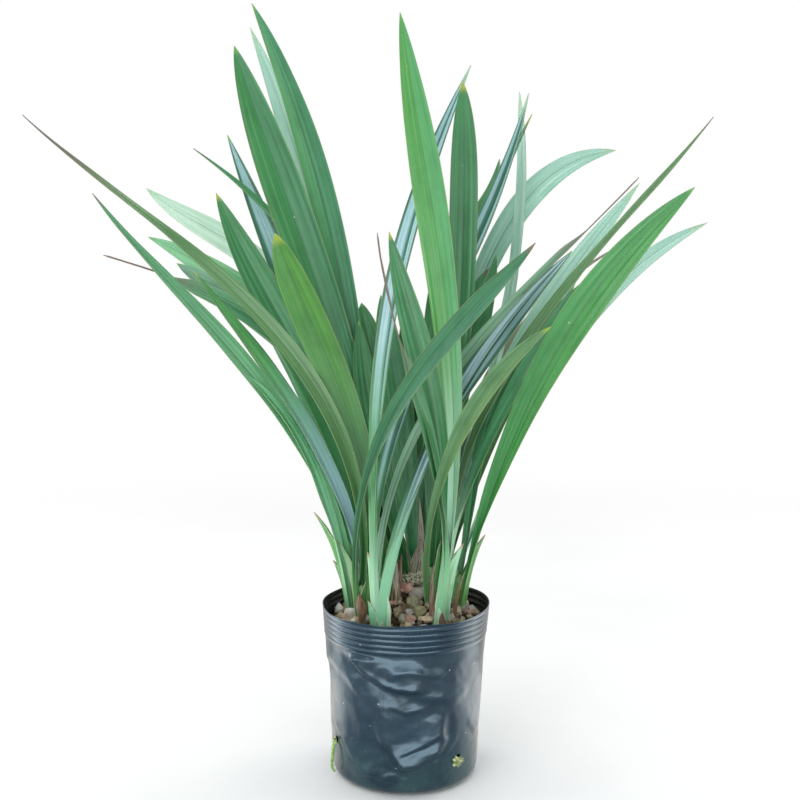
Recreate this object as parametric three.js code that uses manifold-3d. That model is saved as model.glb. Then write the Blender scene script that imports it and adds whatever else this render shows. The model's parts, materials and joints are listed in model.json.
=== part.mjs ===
// Potted broad-leaved orchid: ten leafy shoots in stony bark soil, in a black film nursery pot.
// Millimetres, +Z up. The origin is the centre of the pot's underside; -Y is the side seen in front.
// An azimuth is a compass direction seen from above: 0 looks to the front (-Y), 90 to the right (+X).

import * as THREE from "three";
import * as BufferGeometryUtils from "three/addons/utils/BufferGeometryUtils.js";
import Module from "manifold-3d";

// Driving dimensions

const CLEARANCE = 0.35;

const POT = {
  height: 170,
  rimRadius: 80,
  baseRadius: 70.5,
  film: 1.2,
  ribCount: 5,
  ribPitch: 5.4,
  ribRelief: 1.3,
  ribTopZ: 165,
  sides: 32,
  rimCornerAzimuth: 105,
  rimCornerRelief: 3,
};

// Creases pressed into the film: middle azimuth and height, half length, half width, slope, depth
const CREASES = [
  { azimuth: 55, z: 96, length: 30, width: 11, slope: -36, depth: 3.4 },
  { azimuth: -25, z: 120, length: 32, width: 11, slope: -24, depth: 2.8 },
  { azimuth: 0, z: 52, length: 22, width: 15, slope: 10, depth: 3.0 },
  { azimuth: -88, z: 95, length: 26, width: 26, slope: 0, depth: 2.2 },
  { azimuth: 160, z: 84, length: 34, width: 14, slope: 18, depth: 3.0 },
  { azimuth: -140, z: 60, length: 26, width: 13, slope: -30, depth: 2.6 },
];

const DRAIN = { radius: 3, azimuths: [-65, 43, 130, -150], heights: [40, 30, 36, 34] };

const SOIL = {
  rimZ: 149,
  moundHeight: 27,
  moundCentre: [7, 34],
  moundSpread: 32,
  roughness: 1.6,
  stoneCount: 34,
  stoneSize: [4.8, 9.2],
  seed: 11,
};

const SHOOT = { holeRadius: 10.5, depth: 20, neckRadius: 6.6, neckRise: 34, sides: 8 };
const BRACT = { holeRadius: 4.6, depth: 9, thickness: 0.9 };
const OLD_STEM = { at: [-9, 12], height: 40 };

const LEAF = {
  thickness: 0.8,
  footShare: 0.36,
  widestAt: 0.76,
  tipFrom: 0.58,
  tipPower: 2.3,
  tipRound: 0.85,
  tipHalfWidth: 0.7,
  foldFoot: 70,
  foldTop: 12,
  foldOpensBy: 0.42,
  millimetresPerStep: 84,
};

// One leaf: foot from the shoot's axis, the points at one and two thirds of its length, the tip,
// its width, and the azimuths that its upper face looks to at the foot and at the tip.
function leaf(foot, low, high, tip, width, faceFoot, faceTip) {
  return { foot, low, high, tip, width, faceFoot, faceTip };
}

// One sheath hugging the foot of a shoot: azimuth, height, how far its tip leans out, and width
function sheath(azimuth, height, lean, width) {
  return { azimuth, height, lean, width };
}

const SHOOTS = [
  {
    name: "shoot_left_outer",
    at: [-53, 22],
    leaves: [
      leaf([1, 2], [-95, -10, 365], [-210, -25, 520], [-345, -40, 635], 26, 70, 88),
      leaf([0, -1], [-80, 0, 285], [-130, -30, 400], [-190, -60, 495], 22, 60, 75),
      leaf([-2, -2], [-95, -10, 325], [-185, -55, 455], [-270, -105, 565], 28, 60, 78),
      leaf([-3, 1], [-75, 15, 250], [-105, 10, 325], [-155, 10, 400], 17, 60, 75),
    ],
    sheaths: [sheath(-92, 104, 32, 15), sheath(-60, 82, 14, 16), sheath(-110, 54, 15, 15)],
  },
  {
    name: "shoot_left_inner",
    at: [-42, -6],
    leaves: [
      leaf([-2, 2], [-60, 25, 305], [-120, 40, 440], [-185, 60, 565], 36, 30, 5),
      leaf([0, 0], [-45, -15, 295], [-80, -45, 420], [-115, -85, 530], 32, 10, -10),
      leaf([0, -2], [-30, -70, 320], [30, -130, 435], [105, -180, 525], 27, -50, -15),
    ],
    sheaths: [sheath(-95, 128, 14, 16), sheath(70, 60, 9, 15)],
  },
  {
    name: "shoot_front_left",
    at: [-24, -44],
    leaves: [
      leaf([-2, 2], [-25, -40, 340], [0, 30, 510], [65, 90, 690], 28, -60, -20),
      leaf([0, 2], [-10, 0, 330], [60, 80, 490], [125, 120, 665], 30, -40, -35),
      leaf([2, -1], [5, -25, 325], [105, 20, 460], [225, 40, 580], 24, -50, -70),
      leaf([2, -2], [5, -25, 285], [75, 10, 405], [160, 25, 510], 30, -50, -25),
    ],
    sheaths: [sheath(-80, 92, 13, 18), sheath(75, 84, 15, 18), sheath(-55, 46, 12, 17)],
  },
  {
    name: "shoot_left_back",
    at: [-46, 42],
    leaves: [
      leaf([0, 1], [-65, 60, 305], [-140, 95, 430], [-265, 130, 520], 34, 30, 15),
      leaf([-2, 0], [-70, 55, 290], [-130, 70, 405], [-230, 90, 495], 30, 30, 15),
      leaf([-2, -2], [-80, 45, 310], [-165, 45, 435], [-295, 50, 505], 26, 30, 30),
      leaf([1, 3], [-85, 120, 405], [-180, 170, 510], [-280, 210, 570], 28, 20, 10),
      leaf([-1, 3], [-85, 115, 310], [-125, 180, 395], [-160, 240, 445], 28, 20, 10),
    ],
    sheaths: [sheath(-120, 74, 16, 16), sheath(-175, 56, 12, 16)],
  },
  {
    name: "shoot_back_left",
    at: [-22, 54],
    leaves: [
      leaf([-2, -2], [-50, 65, 350], [-105, 80, 535], [-170, 105, 710], 41, 30, 5),
      leaf([0, 0], [-45, 75, 360], [-85, 100, 565], [-155, 135, 755], 31, 10, 30),
      leaf([1, 2], [-50, 100, 350], [-95, 150, 545], [-165, 210, 740], 30, 10, 20),
      leaf([-3, 1], [-60, 80, 315], [-120, 120, 470], [-185, 160, 625], 26, 10, 20),
      leaf([1, 3], [-40, 115, 310], [-60, 180, 420], [-75, 240, 490], 28, 0, 0),
    ],
    sheaths: [sheath(-15, 88, 12, 17), sheath(170, 66, 15, 16)],
  },
  {
    name: "shoot_centre_back",
    at: [7, 44],
    leaves: [
      leaf([-2, 2], [-10, 90, 340], [-90, 115, 490], [-215, 120, 610], 18, 60, 60),
      leaf([2, 0], [20, 70, 330], [65, 105, 490], [130, 135, 645], 24, -40, -55),
      leaf([0, 2], [55, 110, 410], [125, 155, 555], [225, 190, 610], 28, 0, -20),
      leaf([2, -2], [20, 55, 280], [40, 75, 390], [85, 95, 490], 24, 0, -30),
      leaf([1, 3], [20, 120, 330], [50, 190, 470], [65, 250, 570], 30, 0, 0),
      leaf([-1, 3], [35, 110, 425], [75, 135, 535], [100, 150, 610], 22, -30, -50),
    ],
    sheaths: [sheath(-82, 56, 9, 17), sheath(82, 58, 13, 17), sheath(50, 90, 7, 12)],
  },
  {
    name: "shoot_centre",
    at: [20, 6],
    leaves: [
      leaf([1, 2], [45, 20, 335], [55, 30, 505], [55, 40, 670], 28, 0, 0),
      leaf([0, -2], [30, -50, 285], [65, -110, 385], [120, -165, 455], 24, -50, -20),
    ],
    sheaths: [sheath(-80, 60, 8, 14), sheath(95, 72, 12, 14)],
  },
  {
    name: "shoot_front_right",
    at: [34, -24],
    leaves: [
      leaf([0, 0], [45, -30, 360], [25, -15, 550], [-5, 5, 730], 33, -40, -5),
      leaf([-2, -2], [30, -40, 295], [0, -55, 415], [-25, -70, 530], 18, 50, 30),
      leaf([-2, 0], [35, -35, 290], [15, -40, 410], [-15, -35, 530], 30, 30, 0),
      leaf([2, 1], [55, -10, 275], [105, -5, 380], [160, 0, 480], 20, -60, -55),
    ],
    sheaths: [sheath(88, 94, 20, 17), sheath(-85, 68, 10, 17), sheath(-10, 44, 8, 16)],
  },
  {
    name: "shoot_right",
    at: [54, 16],
    leaves: [
      leaf([0, 2], [75, 20, 345], [175, 15, 500], [285, -5, 635], 22, -60, -75),
      leaf([2, -2], [85, -25, 315], [155, -65, 455], [250, -100, 570], 34, -50, -10),
      leaf([-1, 1], [70, 20, 255], [95, 25, 350], [140, 25, 420], 22, -50, -40),
    ],
    sheaths: [sheath(88, 80, 20, 15), sheath(-60, 50, 8, 14)],
  },
  {
    name: "shoot_back_right",
    at: [36, 50],
    leaves: [
      leaf([0, 2], [65, 90, 315], [110, 120, 480], [120, 150, 650], 24, -50, -62),
      leaf([1, 0], [55, 75, 315], [140, 100, 445], [240, 125, 575], 28, -40, -35),
      leaf([2, 1], [85, 65, 310], [180, 90, 440], [310, 120, 535], 26, -50, -40),
      leaf([1, 2], [60, 90, 285], [125, 130, 420], [240, 175, 515], 14, -50, -60),
      leaf([2, -2], [70, 55, 280], [120, 60, 395], [195, 70, 490], 24, -40, -20),
      leaf([2, 3], [90, 105, 320], [165, 170, 405], [240, 230, 460], 28, -20, -20),
      leaf([0, 3], [55, 120, 330], [70, 190, 420], [85, 250, 445], 26, 0, 0),
    ],
    sheaths: [sheath(100, 82, 15, 17), sheath(-150, 60, 12, 16)],
  },
];

// Dry papery bracts that stand by themselves in the soil
const BRACTS = [
  { name: "dry_bract_left", at: [-43, -23], azimuth: -20, height: 30, lean: 3, width: 12 },
  { name: "dry_bract_right", at: [48, -7], azimuth: 70, height: 48, lean: 8, width: 11 },
  { name: "dry_bract_middle", at: [-2, -10], azimuth: 10, height: 18, lean: 6, width: 9 },
  { name: "dry_bract_back", at: [12, 66], azimuth: 170, height: 34, lean: 8, width: 12 },
];

// Moss tufts with roots that push out of two of the drain holes
const TUFTS = [
  { name: "moss_and_root_left", drain: 0, radius: 3.6, blades: 16, rootLength: 27 },
  { name: "moss_tuft_right", drain: 1, radius: 4.2, blades: 18, rootLength: 0 },
];

const COLOURS = {
  film: "#1d2126",
  soil: "#8c7a66",
  leaf: "#2f6b3c",
  dry: "#a98f6a",
  moss: "#8f9a4a",
};

// Helpers

const wasm = await Module();
wasm.setup();

function radians(degrees) {
  return (degrees * Math.PI) / 180;
}

function direction(azimuth) {
  return [Math.sin(radians(azimuth)), -Math.cos(radians(azimuth))];
}

function mix(a, b, t) {
  return a + (b - a) * t;
}

function smooth(from, to, value) {
  const t = THREE.MathUtils.clamp((value - from) / (to - from), 0, 1);
  return t * t * (3 - 2 * t);
}

// Repeatable draws between 0 and 1
function seeded(seed) {
  let state = seed;
  return () => {
    state = (state * 16807) % 2147483647;
    return state / 2147483647;
  };
}

function solid(geometry) {
  const bare = geometry.clone();
  bare.deleteAttribute("normal");
  bare.deleteAttribute("uv");
  const merged = BufferGeometryUtils.mergeVertices(bare, 1e-4);
  const vertProperties = new Float32Array(merged.attributes.position.array);
  const triVerts = new Uint32Array(merged.index.array);
  return new wasm.Manifold(new wasm.Mesh({ numProp: 3, vertProperties, triVerts }));
}

function meshOf(name, body, colour, roughness) {
  const { vertProperties, triVerts, numProp } = body.getMesh();
  const positions = [];
  for (let i = 0; i < vertProperties.length; i += numProp) {
    positions.push(vertProperties[i], vertProperties[i + 1], vertProperties[i + 2]);
  }
  const geometry = new THREE.BufferGeometry();
  geometry.setAttribute("position", new THREE.Float32BufferAttribute(positions, 3));
  geometry.setIndex(Array.from(triVerts));
  geometry.computeVertexNormals();
  const material = new THREE.MeshStandardMaterial({ color: colour, roughness, metalness: 0 });
  const mesh = new THREE.Mesh(geometry, material);
  mesh.name = name;
  return mesh;
}

function united(bodies) {
  return bodies.reduce((whole, body) => whole.add(body));
}

// The largest connected body: loose scraps go, and a hollow that joining has sealed is filled
function mainBody(body) {
  const pieces = body.decompose();
  return pieces.reduce((best, piece) => (piece.volume() > best.volume() ? piece : best));
}

// An upright cylinder through a height range, with the same sides as a shoot so that they fit
function post([x, y], radius, low, high) {
  const geometry = new THREE.CylinderGeometry(radius, radius, high - low, SHOOT.sides);
  geometry.rotateX(Math.PI / 2);
  geometry.translate(x, y, (low + high) / 2);
  return solid(geometry);
}

// Pot

// How far the film stands in from a plain cone at an azimuth and height
function creaseDepth(azimuth, z) {
  let depth = 0;
  for (const crease of CREASES) {
    const turn = ((azimuth - crease.azimuth + 540) % 360) - 180;
    const along = radians(turn) * POT.baseRadius;
    const tilt = radians(crease.slope);
    const up = z - crease.z;
    const u = along * Math.cos(tilt) + up * Math.sin(tilt);
    const v = up * Math.cos(tilt) - along * Math.sin(tilt);
    depth += crease.depth * Math.exp(-((u / crease.length) ** 2) - (v / crease.width) ** 2);
  }
  return depth * smooth(4, 24, z) * (1 - smooth(132, 140, z));
}

function rimCorner(azimuth, z) {
  const turn = ((azimuth - POT.rimCornerAzimuth + 540) % 360) - 180;
  return POT.rimCornerRelief * Math.exp(-((turn / 22) ** 2)) * smooth(110, POT.height, z);
}

function wallRadius(azimuth, z) {
  const cone = mix(POT.baseRadius, POT.rimRadius, z / POT.height);
  return cone - creaseDepth(azimuth, z) + rimCorner(azimuth, z);
}

// Heights of the rows of points up the wall, below the ribs
const WALL_ROWS = [12, 32, 52, 72, 90, 106, 122, 137];

// A solid of revolution whose rows are [offset from the wall, z, fixed radius or null]
function potShape(rows) {
  const profile = rows.map(([offset, z, radius]) => {
    return new THREE.Vector2(radius ?? wallRadius(0, z) + offset, z);
  });
  const geometry = new THREE.LatheGeometry(profile, POT.sides);
  const position = geometry.attributes.position;
  for (let side = 0; side <= POT.sides; side += 1) {
    const azimuth = ((side % POT.sides) * 360) / POT.sides;
    const [x, y] = direction(azimuth);
    rows.forEach(([offset, z, radius], row) => {
      const reach = radius ?? wallRadius(azimuth, z) + offset;
      position.setXYZ(side * rows.length + row, x * reach, y * reach, z);
    });
  }
  return solid(geometry);
}

function outerRows(offset) {
  const rows = [
    [0, 0, 0],
    [0, 0, POT.baseRadius - 7 + offset],
    [offset - 2, 3, null],
  ];
  WALL_ROWS.forEach((z) => rows.push([offset, z, null]));
  const foot = POT.ribTopZ - (POT.ribCount - 0.5) * POT.ribPitch;
  for (let rib = 0; rib < POT.ribCount; rib += 1) {
    const z = foot + rib * POT.ribPitch;
    rows.push([offset, z, null], [offset + POT.ribRelief, z + POT.ribPitch / 2, null]);
  }
  rows.push([offset, POT.ribTopZ + 2, null]);
  return rows;
}

function innerRows(offset, topZ) {
  const rows = [
    [0, POT.film, 0],
    [0, POT.film, POT.baseRadius - 8 + offset],
  ];
  [...WALL_ROWS, SOIL.rimZ].forEach((z) => rows.push([offset, z, null]));
  if (topZ > SOIL.rimZ) {
    rows.push([offset, topZ, null]);
  }
  rows.push([0, topZ, 0]);
  return rows;
}

function drainCutter(index, radius) {
  const [x, y] = direction(DRAIN.azimuths[index]);
  const geometry = new THREE.CylinderGeometry(radius, radius, 40, 10);
  const middle = new THREE.Vector3(x, y, 0).multiplyScalar(wallRadius(DRAIN.azimuths[index], 40));
  geometry.applyQuaternion(
    new THREE.Quaternion().setFromUnitVectors(new THREE.Vector3(0, 1, 0), new THREE.Vector3(x, y, 0)),
  );
  geometry.translate(middle.x, middle.y, DRAIN.heights[index]);
  return solid(geometry);
}

function potBody() {
  const outside = outerRows(0);
  outside.push([0.4, POT.height, null], [0, POT.height, 0]);
  const inside = potShape(innerRows(-POT.film, POT.height + 5));
  let body = potShape(outside).subtract(inside);
  DRAIN.azimuths.forEach((_, index) => {
    body = body.subtract(drainCutter(index, DRAIN.radius));
  });
  return body;
}

// The pot's outside with a gap round it, which keeps moss clear of the film
function potEnvelope() {
  const rows = outerRows(CLEARANCE);
  rows[0][1] = -CLEARANCE;
  rows[1][1] = -CLEARANCE;
  rows.push([CLEARANCE, POT.height, null], [0, POT.height, 0]);
  return potShape(rows);
}

// Soil

function soilHeight(x, y) {
  const [cx, cy] = SOIL.moundCentre;
  const spread = (x - cx) ** 2 + (y - cy) ** 2;
  const mound = SOIL.moundHeight * Math.exp(-spread / (2 * SOIL.moundSpread ** 2));
  const rough = Math.sin(x * 0.31 + y * 0.17) + Math.sin(y * 0.37 - x * 0.11);
  return SOIL.rimZ + mound + 0.5 * SOIL.roughness * rough;
}

function chip(draw, size) {
  const geometry = new THREE.IcosahedronGeometry(size, 0);
  geometry.scale(mix(0.8, 1.25, draw()), mix(0.7, 1, draw()), mix(0.5, 0.8, draw()));
  geometry.rotateX(mix(-0.7, 0.7, draw()));
  geometry.rotateY(mix(-0.7, 0.7, draw()));
  geometry.rotateZ(2 * Math.PI * draw());
  return geometry;
}

// Stone chips spread evenly by a sunflower spiral, then nudged
function stoneChips() {
  const draw = seeded(SOIL.seed);
  const reach = POT.rimRadius - 13;
  const chips = [];
  for (let i = 0; i < SOIL.stoneCount; i += 1) {
    const r = reach * Math.sqrt((i + 0.5) / SOIL.stoneCount);
    const angle = i * 2.39996 + mix(-0.25, 0.25, draw());
    const x = r * Math.cos(angle) + mix(-2, 2, draw());
    const y = r * Math.sin(angle) + mix(-2, 2, draw());
    const size = mix(...SOIL.stoneSize, draw() ** 1.5);
    const geometry = chip(draw, size);
    geometry.translate(x, y, soilHeight(x, y) + size * mix(0, 0.35, draw()));
    chips.push(solid(geometry));
  }
  return chips;
}

function soilBody(posts) {
  const offset = -POT.film - CLEARANCE;
  const rows = innerRows(offset, SOIL.rimZ);
  rows[0][1] += CLEARANCE;
  rows[1][1] += CLEARANCE;
  rows.pop();
  const shares = [0.86, 0.7, 0.52, 0.34, 0.17];
  shares.forEach((share) => rows.push([0, SOIL.rimZ + 1, share * (POT.rimRadius - 4)]));
  rows.push([0, SOIL.rimZ + 1, 0]);
  const heap = potShape(rows).warp((vertex) => {
    if (vertex[2] > SOIL.rimZ - 1) {
      vertex[2] = soilHeight(vertex[0], vertex[1]);
    }
  });
  let body = united([heap, ...stoneChips()]);
  posts.forEach((cutter) => {
    body = body.subtract(cutter);
  });
  return mainBody(body);
}

// Leaves and sheaths

// A cubic through four points that are passed at 0, 1/3, 2/3 and 1
function pathThrough(foot, low, high, tip) {
  const [a, b, c, d] = [foot, low, high, tip].map((point) => new THREE.Vector3(...point));
  const near = new THREE.Vector3();
  near.addScaledVector(a, -5 / 6).addScaledVector(b, 3).addScaledVector(c, -1.5).addScaledVector(d, 1 / 3);
  const far = new THREE.Vector3();
  far.addScaledVector(a, 1 / 3).addScaledVector(b, -1.5).addScaledVector(c, 3).addScaledVector(d, -5 / 6);
  return new THREE.CubicBezierCurve3(a, near, far, d);
}

function halfWidth(width, t, footShare = LEAF.footShare) {
  const rise = mix(footShare, 1, smooth(0, LEAF.widestAt, t));
  const towardsTip = Math.max(0, (t - LEAF.tipFrom) / (1 - LEAF.tipFrom));
  const taper = (1 - towardsTip ** LEAF.tipPower) ** LEAF.tipRound;
  return Math.max((width / 2) * rise * taper, LEAF.tipHalfWidth);
}

function foldAngle(t, foldTop = LEAF.foldTop) {
  return radians(mix(LEAF.foldFoot, foldTop, smooth(0, LEAF.foldOpensBy, t)));
}

// The six corners of a leaf's V-shaped section, upper face first, then the lower face back again
function section(path, blade, t) {
  const middle = path.getPoint(t);
  const along = path.getTangent(t);
  const azimuth = mix(blade.faceFoot, blade.faceTip, smooth(0, 1, t));
  const [fx, fy] = direction(azimuth);
  const normal = new THREE.Vector3(fx, fy, 0);
  normal.addScaledVector(along, -normal.dot(along)).normalize();
  const across = new THREE.Vector3().crossVectors(along, normal);
  const half = halfWidth(blade.width, t, blade.footShare);
  const fold = foldAngle(t, blade.foldTop);
  const corner = (side, drop) => {
    const point = middle.clone();
    point.addScaledVector(across, side * half * Math.cos(fold));
    point.addScaledVector(normal, Math.abs(side) * half * Math.sin(fold));
    if (side === 0) {
      return point.addScaledVector(normal, -drop / Math.cos(fold));
    }
    point.addScaledVector(normal, -drop * Math.cos(fold));
    return point.addScaledVector(across, side * drop * Math.sin(fold));
  };
  const thickness = blade.thickness ?? LEAF.thickness;
  const upper = [corner(-1, 0), corner(0, 0), corner(1, 0)];
  const lower = [corner(1, thickness), corner(0, thickness), corner(-1, thickness)];
  return [...upper, ...lower];
}

// A closed blade: sections joined by triangles that run alike on both faces, and two flat ends
function bladeBody(path, blade, steps) {
  const positions = [];
  const index = [];
  for (let step = 0; step <= steps; step += 1) {
    section(path, blade, step / steps).forEach((point) => positions.push(point.x, point.y, point.z));
  }
  for (let step = 0; step < steps; step += 1) {
    for (let k = 0; k < 6; k += 1) {
      const a = step * 6 + k;
      const b = step * 6 + ((k + 1) % 6);
      const c = b + 6;
      const d = a + 6;
      if (k === 3 || k === 4) {
        index.push(a, b, d, b, c, d);
      } else {
        index.push(a, b, c, a, c, d);
      }
    }
  }
  const last = steps * 6;
  index.push(0, 5, 4, 0, 4, 1, 1, 4, 3, 1, 3, 2);
  index.push(last, last + 4, last + 5, last, last + 1, last + 4);
  index.push(last + 1, last + 3, last + 4, last + 1, last + 2, last + 3);
  const geometry = new THREE.BufferGeometry();
  geometry.setAttribute("position", new THREE.Float32BufferAttribute(positions, 3));
  geometry.setIndex(index);
  return solid(geometry);
}

function leafBody(blade, [x, y], footZ) {
  const foot = [x + blade.foot[0], y + blade.foot[1], footZ];
  const path = pathThrough(foot, blade.low, blade.high, blade.tip);
  const steps = Math.max(5, Math.round(path.getLength() / LEAF.millimetresPerStep));
  return bladeBody(path, blade, steps);
}

// A short blade that rises from beside an axis and leans away from it
function sheathBody({ azimuth, height, lean, width }, [x, y], footZ, options) {
  const { start, steps, ...shape } = options;
  const [dx, dy] = direction(azimuth);
  const at = (share, out) => [x + dx * out, y + dy * out, footZ + share * height];
  const path = pathThrough(
    at(0, start),
    at(1 / 3, start + 1.5 + 0.12 * lean),
    at(2 / 3, start + 1.5 + 0.42 * lean),
    at(1, start + lean),
  );
  return bladeBody(path, { width, faceFoot: azimuth + 180, faceTip: azimuth + 180, ...shape }, steps);
}

// The swollen foot of a shoot, a plain plug in its hole and a taper above it
function bulbBody([x, y], footZ, rise) {
  const plug = SHOOT.holeRadius - CLEARANCE;
  const profile = [
    [0, -SHOOT.depth + CLEARANCE],
    [plug * 0.8, -SHOOT.depth + CLEARANCE],
    [plug, -SHOOT.depth + 4],
    [plug, -3],
    [SHOOT.neckRadius + 1.2, 6],
    [SHOOT.neckRadius, rise * 0.55],
    [3.4, rise],
    [0, rise + 2],
  ].map(([r, z]) => new THREE.Vector2(r, z));
  const geometry = new THREE.LatheGeometry(profile, SHOOT.sides);
  geometry.rotateX(Math.PI / 2);
  geometry.translate(x, y, footZ);
  return solid(geometry);
}

function shootBody(shoot) {
  const footZ = soilHeight(...shoot.at);
  const bodies = [bulbBody(shoot.at, footZ, SHOOT.neckRise)];
  shoot.leaves.forEach((blade) => bodies.push(leafBody(blade, shoot.at, footZ - 4)));
  shoot.sheaths.forEach((blade) => {
    const options = { start: 4.6, steps: 4, footShare: 0.62, foldTop: 38, thickness: 0.9 };
    bodies.push(sheathBody(blade, shoot.at, footZ - 4, options));
  });
  return mainBody(united(bodies));
}

function oldStemBody() {
  const footZ = soilHeight(...OLD_STEM.at);
  const bodies = [bulbBody(OLD_STEM.at, footZ, OLD_STEM.height)];
  const dry = [sheath(-95, 74, 3, 12), sheath(20, 58, 5, 13), sheath(100, 66, 6, 12)];
  dry.forEach((blade) => {
    const options = { start: 4.6, steps: 4, footShare: 0.66, foldTop: 45, thickness: 0.9 };
    bodies.push(sheathBody(blade, OLD_STEM.at, footZ - 4, options));
  });
  return mainBody(united(bodies));
}

function bractBody(bract) {
  const footZ = soilHeight(...bract.at);
  const radius = BRACT.holeRadius - CLEARANCE;
  const stalk = post(bract.at, radius, footZ - BRACT.depth + CLEARANCE, footZ - 1);
  const options = { start: 0, steps: 4, footShare: 0.4, foldTop: 34, thickness: BRACT.thickness };
  return mainBody(stalk.add(sheathBody(bract, bract.at, footZ - 3, options)));
}

// Moss and root at a drain hole

function tuftBody(tuft, envelope) {
  const azimuth = DRAIN.azimuths[tuft.drain];
  const z = DRAIN.heights[tuft.drain];
  const [x, y] = direction(azimuth);
  const reach = wallRadius(azimuth, z);
  const out = new THREE.Vector3(x, y, 0);
  const place = (distance, drop) => out.clone().multiplyScalar(reach + distance).setZ(z - drop);
  const core = new THREE.IcosahedronGeometry(tuft.radius, 0);
  core.translate(...place(2, 0).toArray());
  const bodies = [solid(core)];
  const draw = seeded(tuft.drain + 5);
  for (let i = 0; i < tuft.blades; i += 1) {
    const blade = new THREE.ConeGeometry(0.95, tuft.radius * 2, 4);
    blade.translate(0, tuft.radius, 0);
    const aim = out.clone().multiplyScalar(mix(0.1, 1, draw()));
    aim.add(new THREE.Vector3(mix(-1, 1, draw()), mix(-1, 1, draw()), mix(-1.2, 0.8, draw())));
    const turn = new THREE.Quaternion().setFromUnitVectors(new THREE.Vector3(0, 1, 0), aim.normalize());
    blade.applyQuaternion(turn);
    blade.translate(...place(2, 0).toArray());
    bodies.push(solid(blade));
  }
  if (tuft.rootLength > 0) {
    bodies.push(rootBody(place, tuft.rootLength));
  }
  const stub = new THREE.CylinderGeometry(DRAIN.radius - CLEARANCE, DRAIN.radius - CLEARANCE, 3.6, 8);
  stub.applyQuaternion(new THREE.Quaternion().setFromUnitVectors(new THREE.Vector3(0, 1, 0), out));
  stub.translate(...place(1.8 - 0.8 * POT.film, 0).toArray());
  return mainBody(united(bodies).subtract(envelope).add(solid(stub)));
}

function rootBody(place, length) {
  const points = [place(1.5, 0), place(3.6, 0.35 * length), place(2.4, 0.7 * length), place(3.4, length)];
  const outline = new THREE.Shape();
  for (let side = 0; side < 6; side += 1) {
    const angle = (side * Math.PI) / 3;
    const [u, v] = [1.1 * Math.cos(angle), 1.1 * Math.sin(angle)];
    if (side === 0) {
      outline.moveTo(u, v);
    } else {
      outline.lineTo(u, v);
    }
  }
  const path = new THREE.CatmullRomCurve3(points);
  const geometry = new THREE.ExtrudeGeometry(outline, { steps: 8, extrudePath: path, bevelEnabled: false });
  return solid(geometry);
}

// Assembly

function holeFor(at, radius, depth) {
  const footZ = soilHeight(...at);
  return post(at, radius, footZ - depth, footZ + 60);
}

const potted = new THREE.Group();
const holes = SHOOTS.map((shoot) => holeFor(shoot.at, SHOOT.holeRadius, SHOOT.depth));
holes.push(holeFor(OLD_STEM.at, SHOOT.holeRadius, SHOOT.depth));
BRACTS.forEach((bract) => holes.push(holeFor(bract.at, BRACT.holeRadius, BRACT.depth)));

potted.add(meshOf("pot", potBody(), COLOURS.film, 0.3));
potted.add(meshOf("substrate", soilBody(holes), COLOURS.soil, 0.9));
SHOOTS.forEach((shoot) => potted.add(meshOf(shoot.name, shootBody(shoot), COLOURS.leaf, 0.4)));
potted.add(meshOf("old_stem", oldStemBody(), COLOURS.dry, 0.8));
BRACTS.forEach((bract) => potted.add(meshOf(bract.name, bractBody(bract), COLOURS.dry, 0.8)));
const envelope = potEnvelope();
TUFTS.forEach((tuft) => potted.add(meshOf(tuft.name, tuftBody(tuft, envelope), COLOURS.moss, 0.9)));

export default potted;
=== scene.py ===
"""The finished looks of a potted broad-leaved orchid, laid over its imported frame.

Sizes and places are in millimetres, as on the plant, and MM turns them into metres where a mesh is
made. An azimuth is a compass direction seen from above: 0 looks to the front (-Y), 90 to the right (+X).
"""

import json
import logging
import math
from collections.abc import Iterator, Sequence
from contextlib import contextmanager
from dataclasses import dataclass, replace
from enum import Enum

import bpy
import numpy as np
from mathutils import Matrix, Vector, noise

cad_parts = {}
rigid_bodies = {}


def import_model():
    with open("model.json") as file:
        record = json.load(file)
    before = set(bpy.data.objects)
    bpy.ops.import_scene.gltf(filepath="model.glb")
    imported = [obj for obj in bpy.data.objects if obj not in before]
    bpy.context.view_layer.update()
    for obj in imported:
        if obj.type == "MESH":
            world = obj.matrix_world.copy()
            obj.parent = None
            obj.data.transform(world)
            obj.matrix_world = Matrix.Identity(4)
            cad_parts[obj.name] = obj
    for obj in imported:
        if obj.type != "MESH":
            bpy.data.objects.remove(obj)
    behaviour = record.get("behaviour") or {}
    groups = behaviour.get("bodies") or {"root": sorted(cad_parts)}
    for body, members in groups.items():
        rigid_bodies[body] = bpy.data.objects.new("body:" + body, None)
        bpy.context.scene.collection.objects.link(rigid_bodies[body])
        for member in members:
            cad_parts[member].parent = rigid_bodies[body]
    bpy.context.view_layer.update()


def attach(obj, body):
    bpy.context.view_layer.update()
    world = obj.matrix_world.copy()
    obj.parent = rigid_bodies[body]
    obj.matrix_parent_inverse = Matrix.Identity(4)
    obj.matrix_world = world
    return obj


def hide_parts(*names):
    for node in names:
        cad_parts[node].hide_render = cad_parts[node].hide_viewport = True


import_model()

MM = 0.001
BODY = "root"
GOLDEN_TURN = 2.39996

log = logging.getLogger("potted_orchid")

Point = tuple[float, float, float]
Spot = tuple[float, float]
Colour = tuple[float, float, float, float]
Piece = bpy.types.Object
Material = bpy.types.Material
Socket = bpy.types.NodeSocket


class Slot(Enum):
    """The record's material slots."""

    FILM = "film"
    SOIL = "soil"
    LEAF = "leaf"
    DRY = "dry_bract"
    MOSS = "moss"


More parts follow.
